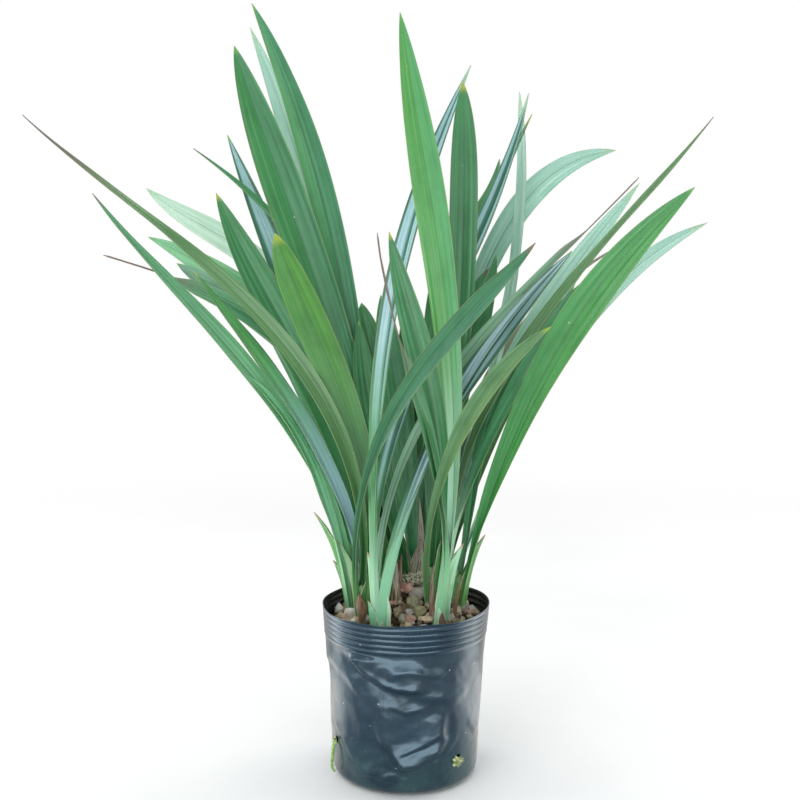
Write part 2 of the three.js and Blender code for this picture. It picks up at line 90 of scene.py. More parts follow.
class Tone(Enum):
    """The green of one leaf: its blade, its lengthwise streaks and how strong they are."""

    DEEP = ("#3e8450", "#27663b", 0.5)
    MID = ("#4f9264", "#2f7048", 0.5)
    FRESH = ("#56a056", "#378243", 0.5)
    GRASS = ("#439049", "#2d7638", 0.5)
    # DUSK is a deep green darkened as painted shade, for the arched leaf of the left inner shoot.
    DUSK = ("#3a7a55", "#245e40", 0.5)
    LIME = ("#4c8b3c", "#377234", 0.45)
    JADE = ("#7fc08e", "#5fa574", 0.5)
    OLIVE = ("#628d5b", "#446e43", 0.5)
    SAGE = ("#7aa388", "#397352", 0.6)
    TEAL = ("#6c9f7f", "#33694c", 0.6)
    # BLUE and SHEEN paint a reflection of the sky into the blade colour: pale blue-white over streaks of the
    # leaf's own green.
    BLUE = ("#b4d6df", "#3f8474", 0.4)
    SHEEN = ("#c4e2eb", "#195846", 0.66)
    FROST = ("#bedbc6", "#9cc4a9", 0.4)
    PALE = ("#a9d2c1", "#8bbfac", 0.5)


class Tip(Enum):
    """How the tip of a leaf has aged: its colour, and the share of the leaf that shows it."""

    GREEN = ("#6aa452", 0.012)
    PALE = ("#a9c9a6", 0.03)
    YELLOW = ("#a3ad44", 0.014)
    RIPE = ("#93ab3a", 0.022)
    BROWN = ("#7a6b58", 0.022)
    DARK = ("#56683f", 0.03)
    WITHERED = ("#67604f", 0.15)
    THREAD = ("#7d6c60", 0.26)
    FRAYED = ("#7d6c60", 0.14)
    DRY = ("#988d7e", 0.42)


class Foot(Enum):
    """The colour that the foot of a leaf keeps inside its sheaths; SHADE is painted shade and BLUE a painted
    reflection instead, each laid over a leaf's lower part.
    """

    MINT = "#b4e3c3"
    JADE = "#8fd0a5"
    FERN = "#8ccb9a"
    GREEN = "#6bab62"
    DARK = "#58965a"
    SHADE = "#5c8a60"
    # Painted reflection of the sky on a leaf's lower part, not a colour of its own.
    BLUE = "#9fc3cd"


class SheathTone(Enum):
    """The colour of a sheath that clasps a shoot."""

    MINT = "#b0e0b8"
    JADE = "#86c99f"
    GREEN = "#6cab5e"
    PALE = "#b3d9a9"
    PINK = "#a98b7c"
    STRAW = "#f1e8da"
    UMBER = "#b8937a"


class StoneKind(Enum):
    """The kinds of stone chip in the soil, by colour."""

    WHITE = "#ece9e2"
    PINK = "#d6a89a"
    BEIGE = "#d6c3a5"
    OLIVE = "#b1ae87"
    GREY = "#b9b4aa"
    BARK = "#5f4a38"


# Plain helpers


def paint(code: str) -> Colour:
    """Turns a screen colour such as #2f6b3c into the linear values that a shader takes.

    Args:
        code: A number sign and three pairs of hexadecimal digits.

    Returns:
        Red, green, blue and a full alpha.
    """
    red, green, blue = (int(code[i : i + 2], 16) / 255 for i in (1, 3, 5))
    return (*(c / 12.92 if c <= 0.04045 else ((c + 0.055) / 1.055) ** 2.4 for c in (red, green, blue)), 1.0)


def heading(azimuth: float) -> Vector:
    """The level direction that an azimuth looks in."""
    turn = math.radians(azimuth)
    return Vector((math.sin(turn), -math.cos(turn), 0.0))


def smooth(low: float, high: float, value: np.ndarray | float) -> np.ndarray:
    """Rises softly from 0 at low to 1 at high."""
    share = np.clip((np.asarray(value, float) - low) / (high - low), 0.0, 1.0)
    return share * share * (3.0 - 2.0 * share)


def mix(start: float, end: float, share: np.ndarray | float) -> np.ndarray | float:
    """Goes from start to end as share goes from 0 to 1."""
    return start + (end - start) * share


class Draws:
    """Repeatable draws between 0 and 1, the same ones that the frame's stones were laid with."""

    MULTIPLIER = 16807
    MODULUS = 2147483647

    def __init__(self, seed: int) -> None:
        """Starts the draws from a seed."""
        self.state = seed

    def one(self) -> float:
        """The next draw, between 0 and 1."""
        self.state = self.state * self.MULTIPLIER % self.MODULUS
        return self.state / self.MODULUS

    def between(self, low: float, high: float) -> float:
        """The next draw, between low and high."""
        return mix(low, high, self.one())

    def choice(self, options: Sequence) -> object:
        """One of several options, all as likely."""
        return options[min(int(self.one() * len(options)), len(options) - 1)]


# Workshop: how a mesh is started, shaped and finished


def only(piece: Piece) -> Piece:
    """Selects one piece and nothing else, and makes it the active one.

    Args:
        piece: The piece.

    Returns:
        The piece.
    """
    bpy.ops.object.select_all(action="DESELECT")
    piece.select_set(True)
    bpy.context.view_layer.objects.active = piece
    return piece


@contextmanager
def editing(piece: Piece) -> Iterator[None]:
    """Opens a piece in edit mode, all of it selected, and closes it again.

    Args:
        piece: The piece.

    Yields:
        Nothing, while the piece is open.
    """
    only(piece)
    bpy.ops.object.mode_set(mode="EDIT")
    bpy.ops.mesh.select_all(action="SELECT")
    yield
    bpy.ops.object.mode_set(mode="OBJECT")


def apply_modifier(piece: Piece, kind: str, **settings: object) -> None:
    """Adds a modifier to a piece and applies it.

    Args:
        piece: The piece to change.
        kind: The modifier's type, such as SOLIDIFY.
        **settings: The modifier's own settings.
    """
    only(piece)
    modifier = piece.modifiers.new(kind.title(), kind)
    for name, value in settings.items():
        setattr(modifier, name, value)
    bpy.ops.object.modifier_apply(modifier=modifier.name)


def points_of(piece: Piece) -> np.ndarray:
    """A mesh's points in millimetres, one row each.

    Args:
        piece: The piece.

    Returns:
        A row for each point, in millimetres.
    """
    flat = np.zeros(len(piece.data.vertices) * 3)
    piece.data.vertices.foreach_get("co", flat)
    return flat.reshape(-1, 3) / MM


def move_points(piece: Piece, points: np.ndarray) -> None:
    """Puts a mesh's points at new places, in millimetres."""
    piece.data.vertices.foreach_set("co", (points * MM).ravel())
    piece.data.update()


def turned(name: str, rows: Sequence[Spot], sides: int, open_top: bool = False) -> Piece:
    """Draws a ring and extrudes it row by row into a round body about the Z axis.

    Args:
        name: The new piece's name.
        rows: Radius and height of each ring, from one end to the other.
        sides: Number of points in each ring.
        open_top: Whether the last ring is left open.

    Returns:
        The piece, at the origin, its faces outward.
    """
    bpy.ops.object.select_all(action="DESELECT")
    radius, height = rows[0]
    bpy.ops.mesh.primitive_circle_add(vertices=sides, radius=radius * MM, fill_type="NGON")
    piece = bpy.context.active_object
    piece.name = name
    with editing(piece):
        bpy.ops.transform.translate(value=(0.0, 0.0, height * MM))
        for next_radius, next_height in rows[1:]:
            rise = {"value": (0.0, 0.0, (next_height - height) * MM)}
            bpy.ops.mesh.extrude_region_move(TRANSFORM_OT_translate=rise)
            share = next_radius / radius
            middle = (0.0, 0.0, next_height * MM)
            bpy.ops.transform.resize(value=(share, share, 1.0), center_override=middle)
            radius, height = next_radius, next_height
        if open_top:
            bpy.ops.mesh.delete(type="ONLY_FACE")
        bpy.ops.mesh.select_all(action="SELECT")
        bpy.ops.mesh.normals_make_consistent(inside=False)
    return piece


def copy_of(model: Piece, place: Matrix) -> Piece:
    """A copy of a piece with a mesh of its own, its place taken into the mesh.

    Args:
        model: The piece that is copied.
        place: Where the copy goes, in metres.

    Returns:
        The copy, its object at the origin.
    """
    piece = model.copy()
    piece.data = model.data.copy()
    piece.data.transform(place)
    bpy.context.collection.objects.link(piece)
    return piece


def joined(pieces: Sequence[Piece], name: str) -> Piece:
    """Joins several pieces into the first of them and names it.

    Args:
        pieces: The pieces to join.
        name: The name of the one piece.

    Returns:
        The one piece.
    """
    only(pieces[0])
    for piece in pieces[1:]:
        piece.select_set(True)
    bpy.ops.object.join()
    pieces[0].name = name
    pieces[0].data.name = name
    return pieces[0]


def discard(pieces: Sequence[Piece]) -> None:
    """Removes models that only served for copying."""
    for piece in pieces:
        bpy.data.objects.remove(piece)


def shade(piece: Piece, angle: float = 180.0) -> None:
    """Shades a piece smooth across edges up to an angle in degrees."""
    only(piece)
    bpy.ops.object.shade_smooth_by_angle(angle=math.radians(angle), keep_sharp_edges=False)


def tube(name: str, route: Sequence[Point], radius: float, tip_share: float = 1.0) -> Piece:
    """A round strand along a smooth route, made a mesh.

    Args:
        name: The new piece's name.
        route: Points in millimetres that the strand passes.
        radius: Its radius at the start.
        tip_share: The share of the radius that is left at the end.

    Returns:
        The strand as a closed mesh at the origin.
    """
    curve = bpy.data.curves.new(name, "CURVE")
    curve.dimensions = "3D"
    curve.resolution_u = 4
    curve.bevel_depth = radius * MM
    curve.bevel_resolution = 1
    curve.use_fill_caps = True
    spline = curve.splines.new("BEZIER")
    spline.bezier_points.add(len(route) - 1)
    for index, (knot, place) in enumerate(zip(spline.bezier_points, route)):
        knot.co = Vector(place) * MM
        knot.handle_left_type = knot.handle_right_type = "AUTO"
        knot.radius = mix(1.0, tip_share, index / (len(route) - 1))
    piece = bpy.data.objects.new(name, curve)
    bpy.context.collection.objects.link(piece)
    only(piece)
    bpy.ops.object.convert(target="MESH")
    return bpy.context.active_object


def seat(piece: Piece, slot: Slot, *nodes: str) -> Piece:
    """Puts a finished piece on the part's body, hides the nodes that it stands for and logs its slot.

    Args:
        piece: The finished piece.
        slot: The record's slot that its finish belongs to.
        *nodes: The frame's nodes that it replaces.

    Returns:
        The same piece.
    """
    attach(piece, BODY)
    if nodes:
        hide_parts(*nodes)
    faces = len(piece.data.polygons)
    log.info("%s: %d faces, slot %s, stands for %s", piece.name, faces, slot.value, nodes or "no node")
    return piece


# Finishes


class Bench:
    """Lays out the nodes of one material round its shader."""

    def __init__(self, name: str) -> None:
        """Starts a material with a Principled shader.

        Args:
            name: Its name.
        """
        self.material = bpy.data.materials.new(name)
        self.material.use_nodes = True
        self.tree = self.material.node_tree
        self.shader = self.tree.nodes["Principled BSDF"]

    def node(
        self, kind: str, feeds: dict[int | str, object] | None = None, **settings: object
    ) -> bpy.types.Node:
        """Adds a node.

        Args:
            kind: Its type.
            feeds: What its sockets get, by number or name.
            **settings: Its own settings.

        Returns:
            The node.
        """
        made = self.tree.nodes.new(kind)
        for name, value in settings.items():
            setattr(made, name, value)
        for socket, source in (feeds or {}).items():
            self.feed(made.inputs[socket], source)
        return made

    def feed(self, target: Socket, source: object) -> None:
        """Links a socket to another, or sets it to a plain value.

        Args:
            target: The socket that is fed.
            source: A socket or a value.
        """
        if isinstance(source, Socket):
            self.tree.links.new(source, target)
        else:
            target.default_value = source

    def set(self, **sockets: object) -> None:
        """Feeds the shader's sockets.

        Args:
            **sockets: What each gets, by its name in lower case with underscores.
        """
        words = {"ior": "IOR", "specular_ior_level": "Specular IOR Level"}
        for name, source in sockets.items():
            self.feed(self.shader.inputs[words.get(name, name.replace("_", " ").title())], source)

    def math(self, operation: str, first: object, second: object = 0.0) -> Socket:
        """One sum on one or two values."""
        return self.node("ShaderNodeMath", {0: first, 1: second}, operation=operation).outputs[0]

    def ramp(self, value: object, low: float, high: float, start: float = 0.0, end: float = 1.0) -> Socket:
        """Goes softly from start to end as a value goes from low to high."""
        feeds = dict(enumerate((value, low, high, start, end)))
        return self.node("ShaderNodeMapRange", feeds, interpolation_type="SMOOTHSTEP").outputs["Result"]

    def mix(self, share: object, first: object, second: object, blend: str = "MIX") -> Socket:
        """Mixes two colours by a share."""
        feeds = {0: share, 6: first, 7: second}
        return self.node("ShaderNodeMix", feeds, data_type="RGBA", blend_type=blend).outputs[2]

    def combine(self, x: object, y: object, z: object) -> Socket:
        """Three values as one place."""
        return self.node("ShaderNodeCombineXYZ", {0: x, 1: y, 2: z}).outputs[0]

    def split(self, place: Socket) -> tuple[Socket, ...]:
        """A place as its three values."""
        return tuple(self.node("ShaderNodeSeparateXYZ", {0: place}).outputs)

    def noise(self, place: object, scale: float, detail: float = 3.0, rough: float = 0.55) -> Socket:
        """Soft random values over a place."""
        feeds = {"Vector": place, "Scale": scale, "Detail": detail, "Roughness": rough}
        return self.node("ShaderNodeTexNoise", feeds).outputs[0]

    def cells(self, place: object, scale: float) -> tuple[Socket, Socket]:
        """Distance to the nearest of many random points, and that point's own colour."""
        made = self.node("ShaderNodeTexVoronoi", {"Vector": place, "Scale": scale})
        return made.outputs["Distance"], made.outputs["Color"]

    def objects(self) -> Socket:
        """Places on the object, in metres."""
        return self.node("ShaderNodeTexCoord").outputs["Object"]

    def stretched(self, place: object, scale: Point) -> Socket:
        """A place with each of its three values scaled."""
        return self.node("ShaderNodeMapping", {"Vector": place, "Scale": scale}).outputs[0]

    def attribute(self, name: str) -> tuple[Socket, Socket]:
        """The colour and alpha that a mesh keeps under a name."""
        made = self.node("ShaderNodeAttribute", attribute_type="GEOMETRY", attribute_name=name)
        return made.outputs["Color"], made.outputs["Alpha"]

    def chart(self, across: object, along: object, layer: object, wide: float, long: float) -> Socket:
        """A place on a strap's own chart, stretched across and along, on a layer of its own."""
        return self.combine(self.math("MULTIPLY", across, wide), self.math("MULTIPLY", along, long), layer)

    def bump(self, height: object, strength: float, depth: float, base: Socket | None = None) -> Socket:
        """Raises the surface's shading.

        Args:
            height: How high it stands, from 0 to 1.
            strength: How much of that shows.
            depth: The height that 1 stands for, in millimetres.
            base: Shading that is raised already.

        Returns:
            The normal to shade with.
        """
        feeds = {"Strength": strength, "Distance": depth * MM, "Height": height}
        if base is not None:
            feeds["Normal"] = base
        return self.node("ShaderNodeBump", feeds).outputs[0]


@dataclass(frozen=True)
class BladeFinish:
    """One face of a leaf or sheath: its own green, streaked lengthwise, with rib, veins and margins.

    The mesh gives four colours by attribute: the blade's with a seed as alpha, the streaks' with
    their strength, and the foot's and the tip's, each with the share of the length that it takes.
    Its UV map runs across and along.
    """

    name: str
    paleness: float = 0.0
    pale_colour: str = "#9dc2a4"
    rib_colour: str = "#2a5c3a"
    rib_share: float = 0.45
    vein_count: float = 6.0
    vein_share: float = 0.14
    margin_colour: str = "#a3a95c"
    margin_share: float = 0.4
    roughness: float = 0.36
    coat: float = 0.3
    speck_share: float = 0.6

    def material(self) -> Material:
        """Builds the material.

        Returns:
            The material.
        """
        bench = Bench(self.name)
        across, along, _ = bench.split(bench.node("ShaderNodeUVMap", uv_map="UVMap").outputs[0])
        side = bench.math("ABSOLUTE", bench.math("SUBTRACT", bench.math("MULTIPLY", across, 2.0), 1.0))
        blade, seed = bench.attribute("blade_colour")
        streak, streak_share = bench.attribute("streak_colour")
        foot, foot_share = bench.attribute("foot_colour")
        tip, tip_share = bench.attribute("tip_colour")
        layer = bench.math("MULTIPLY", seed, 40.0)
        bands = bench.noise(bench.chart(across, along, layer, 8.0, 1.6), 1.0, 1.0)
        streaks = bench.noise(bench.chart(across, along, layer, 30.0, 3.0), 1.0, 2.0)
        cloud = bench.noise(bench.chart(across, along, layer, 1.6, 11.0), 1.0, 3.0)
        dark = bench.math("MULTIPLY", streak_share, bench.ramp(bands, 0.42, 0.66))
        colour = bench.mix(dark, blade, streak)
        light = bench.ramp(streaks, 0.45, 0.75, 0.0, 0.4)
        colour = bench.mix(light, colour, (0.78, 0.9, 0.78, 1.0), "SOFT_LIGHT")
        murk = bench.ramp(cloud, 0.4, 0.75, 0.0, 0.35)
        colour = bench.mix(murk, colour, (0.02, 0.07, 0.03, 1.0), "SOFT_LIGHT")
        colour = bench.mix(self.paleness, colour, paint(self.pale_colour))
        lines = bench.math("PINGPONG", bench.math("MULTIPLY", side, self.vein_count), 0.5)
        veins = bench.ramp(lines, 0.0, 0.16, self.vein_share, 0.0)
        colour = bench.mix(veins, colour, streak)
        foot_end = bench.math("SUBTRACT", 1.0, bench.math("DIVIDE", along, foot_share))
        colour = bench.mix(bench.ramp(foot_end, 0.0, 0.7), colour, foot)
        colour = bench.mix(bench.ramp(side, 0.01, 0.07, self.rib_share, 0.0), colour, paint(self.rib_colour))
        margin = bench.ramp(side, 0.93, 1.0, 0.0, self.margin_share)
        colour = bench.mix(margin, colour, paint(self.margin_colour))
        tip_near = bench.math("DIVIDE", bench.math("SUBTRACT", 1.0, along), tip_share)
        ragged = bench.math("ADD", tip_near, bench.ramp(streaks, 0.3, 0.7, -0.25, 0.25))
        colour = bench.mix(bench.ramp(ragged, 0.5, 1.8, 1.0, 0.0), colour, tip)
        flecks, lot = bench.cells(bench.chart(across, along, layer, 1.9, 34.0), 1.0)
        rare = bench.ramp(bench.split(lot)[0], 0.72, 0.74)
        spots = bench.math("MULTIPLY", rare, bench.ramp(flecks, 0.03, 0.06, self.speck_share, 0.0))
        colour = bench.mix(spots, colour, paint("#e2ece0"))
        relief = bench.bump(streaks, 0.3, 0.35)
        relief = bench.bump(lines, 0.4, 0.3, relief)
        bench.set(
            base_color=colour,
            roughness=bench.ramp(bands, 0.25, 0.75, self.roughness - 0.06, self.roughness + 0.1),
            normal=relief,
            coat_weight=self.coat,
            coat_roughness=0.24,
            specular_ior_level=0.5,
        )
        return bench.material


@dataclass(frozen=True)
class DryFinish:
    """Papery dead tissue: streaked fibres in a warm and a pale tone."""

    name: str
    colour: str
    pale: str = "#cfc6b2"
    dark: str = "#5a4330"

    def material(self) -> Material:
        """Builds the material.

        Returns:
            The material.
        """
        bench = Bench(self.name)
        across, along, _ = bench.split(bench.node("ShaderNodeUVMap", uv_map="UVMap").outputs[0])
        strands = bench.noise(bench.chart(across, along, 0.0, 26.0, 2.4), 1.4, 5.0)
        patches = bench.noise(bench.stretched(bench.objects(), (90.0, 90.0, 40.0)), 1.0)
        colour = bench.mix(bench.ramp(strands, 0.35, 0.68), paint(self.dark), paint(self.colour))
        colour = bench.mix(bench.ramp(patches, 0.45, 0.75, 0.0, 0.75), colour, paint(self.pale))
        bench.set(
            base_color=colour,
            roughness=0.82,
            normal=bench.bump(strands, 0.8, 0.5),
            specular_ior_level=0.3,
        )
        return bench.material


@dataclass(frozen=True)
class FilmFinish:
    """Soft black polyethylene: satin with drawn lines, fine wrinkles and a little dust near the foot."""

    name: str = "black_film"
    # The navy of colour and worn is partly painted reflection: the film is near-black, and the blue stands
    # in for the sky that it mirrors.
    colour: str = "#1c3140"
    worn: str = "#28404f"
    dust: str = "#66757c"
    haze: str = "#3c5a58"
    inside: str = "#151514"

    def material(self) -> Material:
        """Builds the material.

        Returns:
            The material.
        """
        bench = Bench(self.name)
        place = bench.objects()
        x, y, z = bench.split(place)
        turn = bench.math("ARCTAN2", x, bench.math("MULTIPLY", y, -1.0))
        around = bench.math("MULTIPLY", turn, 30.0)
        drawn = bench.noise(bench.combine(around, bench.math("MULTIPLY", z, 10.0), 0.0), 2.0, 4.0)
        clouds = bench.noise(place, 24.0, 5.0, 0.6)
        wrinkles = bench.noise(bench.stretched(place, (70.0, 70.0, 130.0)), 1.0, 4.0, 0.6)
        dots, lot = bench.cells(place, 120.0)
        colour = bench.mix(bench.ramp(clouds, 0.35, 0.7), paint(self.colour), paint(self.worn))
        colour = bench.mix(bench.ramp(drawn, 0.6, 0.85, 0.0, 0.22), colour, paint(self.dust))
        low = bench.ramp(z, 0.0, 0.06, 0.55, 0.0)
        hazy = bench.math("MULTIPLY", low, bench.ramp(clouds, 0.3, 0.6))
        colour = bench.mix(hazy, colour, paint(self.haze))
        rare = bench.ramp(bench.split(lot)[0], 0.86, 0.87)
        grains = bench.math("MULTIPLY", bench.ramp(dots, 0.05, 0.09, 0.9, 0.0), rare)
        colour = bench.mix(grains, colour, paint("#cfd3cd"))
        relief = bench.bump(wrinkles, 0.3, 0.9)
        relief = bench.bump(drawn, 0.2, 0.25, relief)
        bench.set(
            base_color=colour,
            roughness=bench.ramp(clouds, 0.3, 0.75, 0.17, 0.3),
            normal=relief,
            coat_weight=0.6,
            coat_roughness=0.16,
            specular_ior_level=0.9,
            specular_tint=(0.6, 0.84, 1.0, 1.0),
            ior=1.58,
        )
        return bench.material

    def inner_material(self) -> Material:
        """Builds the dull, soiled finish of the film's inner face.

        Returns:
            The material.
        """
        bench = Bench(f"{self.name}_inside")
        clouds = bench.noise(bench.objects(), 60.0, 5.0)
        colour = bench.mix(bench.ramp(clouds, 0.5, 0.8, 0.0, 0.4), paint(self.inside), paint("#37322a"))
        bench.set(base_color=colour, roughness=0.6, normal=bench.bump(clouds, 0.4, 0.8))
        return bench.material


@dataclass(frozen=True)
class StoneFinish:
    """Broken stone of one colour, each chip a little different, with pits and paler patches."""

    kind: StoneKind

    def material(self) -> Material:
        """Builds the material.

        Returns:
            The material.
        """
        bench = Bench(f"stone_{self.kind.name.lower()}")
        place = bench.objects()
        base = paint(self.kind.value)
        blotches = bench.noise(place, 95.0, 5.0, 0.6)
        grain = bench.noise(place, 620.0, 3.0)
        pits, _ = bench.cells(place, 420.0)
        colour = bench.mix(bench.ramp(blotches, 0.35, 0.7, 0.0, 0.7), base, paint("#6c5c4a"), "MULTIPLY")
        colour = bench.mix(bench.ramp(blotches, 0.55, 0.72, 0.0, 0.5), colour, paint("#efe9dc"))
        colour = bench.mix(bench.ramp(grain, 0.45, 0.75, 0.0, 0.35), colour, paint("#4c4234"))
        relief = bench.bump(grain, 0.5, 0.4)
        relief = bench.bump(bench.ramp(pits, 0.0, 0.35), 0.3, 0.5, relief)
        bench.set(base_color=colour, roughness=0.86, normal=relief, specular_ior_level=0.35)
        return bench.material


@dataclass(frozen=True)
class EarthFinish:
    """Dark crumbly soil with bits of bark and grit."""

    name: str = "dark_soil"
    dark: str = "#2b231b"
    light: str = "#6d5c45"

    def material(self) -> Material:
        """Builds the material.

        Returns:
            The material.
        """
        bench = Bench(self.name)
        place = bench.objects()
        crumbs, tint = bench.cells(place, 480.0)
        clumps = bench.noise(place, 150.0, 6.0, 0.65)
        shade_of = bench.split(tint)[0]
        colour = bench.mix(shade_of, paint(self.dark), paint(self.light))
        colour = bench.mix(bench.ramp(clumps, 0.35, 0.7, 0.75, 0.0), colour, paint("#1d1712"))
        relief = bench.bump(clumps, 0.9, 2.4)
        relief = bench.bump(crumbs, 0.6, 0.9, relief)
        bench.set(base_color=colour, roughness=0.95, normal=relief, specular_ior_level=0.2)
        return bench.material


@dataclass(frozen=True)
class MossFinish:
    """Pale yellow-green moss, or the skin of a living root."""

    name: str
    light: str
    dark: str
    roughness: float = 0.85

    def material(self) -> Material:
        """Builds the material.

        Returns:
            The material.
        """
        bench = Bench(self.name)
        place = bench.objects()
        patches = bench.noise(place, 260.0, 4.0)
        colour = bench.mix(bench.ramp(patches, 0.35, 0.65), paint(self.dark), paint(self.light))
        bench.set(
            base_color=colour,
            roughness=self.roughness,
            normal=bench.bump(bench.noise(place, 900.0, 2.0), 0.4, 0.3),
        )
        return bench.material


@dataclass(frozen=True)
class FloorFinish:
    """A pale studio floor that fades into a white sweep far away.

    What glossy things mirror of it is shaded as in a studio: dim before the pot and bright beside it,
    with the pot's own shade close by.
    """

    name: str = "studio_floor"
    near: float = 0.5
    far: float = 1.6
    mirrored_far: float = 1.2
    mirrored_front: float = 0.34
    mirrored_side: float = 1.7
    mirrored_back: float = 0.6
    mirrored_tint: tuple[float, float, float, float] = (1.0, 0.96, 0.9, 1.0)
    front_from: float = -1.0
    front_to: float = -0.3
    side_from: float = -0.1
    side_to: float = 0.03
    back_from: float = 0.08
    back_to: float = 0.26
    shade: float = 0.4
    shade_from: float = 0.08
    shade_to: float = 0.3

    def material(self) -> Material:
        """Builds the material.

        Returns:
            The material.
        """
        bench = Bench(self.name)
        place = bench.objects()
        x, y, _ = bench.split(place)
        squares = bench.math("ADD", bench.math("MULTIPLY", x, x), bench.math("MULTIPLY", y, y))
        reach = bench.math("SQRT", squares)
        far = bench.ramp(reach, self.near, self.far)
        mottle = bench.ramp(bench.noise(place, 3.0), 0.3, 0.7, 0.86, 0.9)
        front = bench.ramp(y, self.front_from, self.front_to, self.mirrored_far, self.mirrored_front)
        rise = bench.ramp(y, self.side_from, self.side_to, 0.0, self.mirrored_side - self.mirrored_front)
        side = bench.math("ADD", front, rise)
        back = bench.ramp(y, self.back_from, self.back_to, 1.0, self.mirrored_back / self.mirrored_side)
        near_pot = bench.ramp(reach, self.shade_from, self.shade_to, self.shade, 1.0)
        mirrored = bench.math("MULTIPLY", bench.math("MULTIPLY", side, back), near_pot)
        glossy = bench.node("ShaderNodeLightPath").outputs["Is Glossy Ray"]
        black = (0.0, 0.0, 0.0, 1.0)
        white = (1.0, 1.0, 1.0, 1.0)
        plain = bench.mix(far, bench.combine(mottle, mottle, mottle), black)
        direct = bench.math("MULTIPLY", far, bench.math("SUBTRACT", 1.0, glossy))
        bench.set(
            base_color=bench.mix(glossy, plain, black),
            roughness=0.7,
            specular_ior_level=0.0,
            emission_color=bench.mix(glossy, white, self.mirrored_tint),
            emission_strength=bench.math("ADD", direct, bench.math("MULTIPLY", mirrored, glossy)),
        )
        bench.material.cycles.emission_sampling = "NONE"
        return bench.material


# Blades: the folded straps that leaves, sheaths and bracts are made of


@dataclass(frozen=True)
class Form:
    """How a strap is cut and folded.

    Attributes:
        foot_share: The share of the width that is left at the foot.
        widest_at: Where along it is widest.
        tip_from: Where it starts to taper.
        tip_power: How late it tapers.
        fold_foot: How far each half is folded up at the foot, in degrees.
        fold_top: The same where it has opened.
        opens_by: Where along it has opened.
        thread: The share at the tip that has shrivelled to a thread.
        groove: How wide the painted shade in the groove along the rib is, as a share of one half.
        edge: How wide the dark margins are, as a share of one half.
        green_to: The share from the foot that is plain green, where the blade above has a painted pale
            sheen.
    """

    foot_share: float = 0.5
    widest_at: float = 0.76
    tip_from: float = 0.58
    tip_power: float = 2.4
    fold_foot: float = 66.0
    fold_top: float = 12.0
    opens_by: float = 0.42
    thread: float = 0.0
    groove: float = 0.0
    edge: float = 0.0
    green_to: float = 0.0


PLAIN = Form()
BLUNT = Form(tip_from=0.66, tip_power=4.2)
BROAD = Form(tip_from=0.6, tip_power=2.8)
ARCHED = Form(widest_at=0.9, tip_from=0.62, tip_power=2.0, fold_foot=60.0, fold_top=20.0, opens_by=0.6)
SLENDER = Form(tip_from=0.36, tip_power=1.35, fold_top=20.0)
WHIP = Form(tip_from=0.22, tip_power=1.05, fold_top=26.0)
THREADED = Form(tip_from=0.45, tip_power=1.8, thread=0.3, fold_top=24.0)
TAILED = Form(tip_from=0.45, tip_power=1.8, thread=0.15, fold_top=24.0)
RIMMED = Form(tip_from=0.46, tip_power=1.6, fold_top=24.0, edge=0.1)
GROOVED = Form(tip_from=0.5, tip_power=2.0, fold_top=30.0, groove=0.12, edge=0.22, green_to=0.4)
CREASED = Form(tip_from=0.5, tip_power=2.0, fold_top=34.0, groove=0.34, edge=0.24, green_to=0.2)
BANDED = Form(tip_from=0.5, tip_power=2.0, fold_top=24.0, edge=0.4, green_to=0.1)
SHEENED = Form(tip_from=0.55, tip_power=2.0, fold_top=26.0, groove=0.14, edge=0.3, green_to=0.06)
CLOSED = Form(tip_from=0.3, tip_power=1.3, fold_top=36.0, opens_by=0.2)
SHEATH = Form(0.9, 0.4, 0.3, 1.5, 60.0, 50.0, 0.9)
FAN = Form(0.9, 0.4, 0.3, 1.5, 80.0, 74.0, 0.9)
BRACT = Form(0.5, 0.5, 0.45, 1.6, 70.0, 34.0, 0.9)


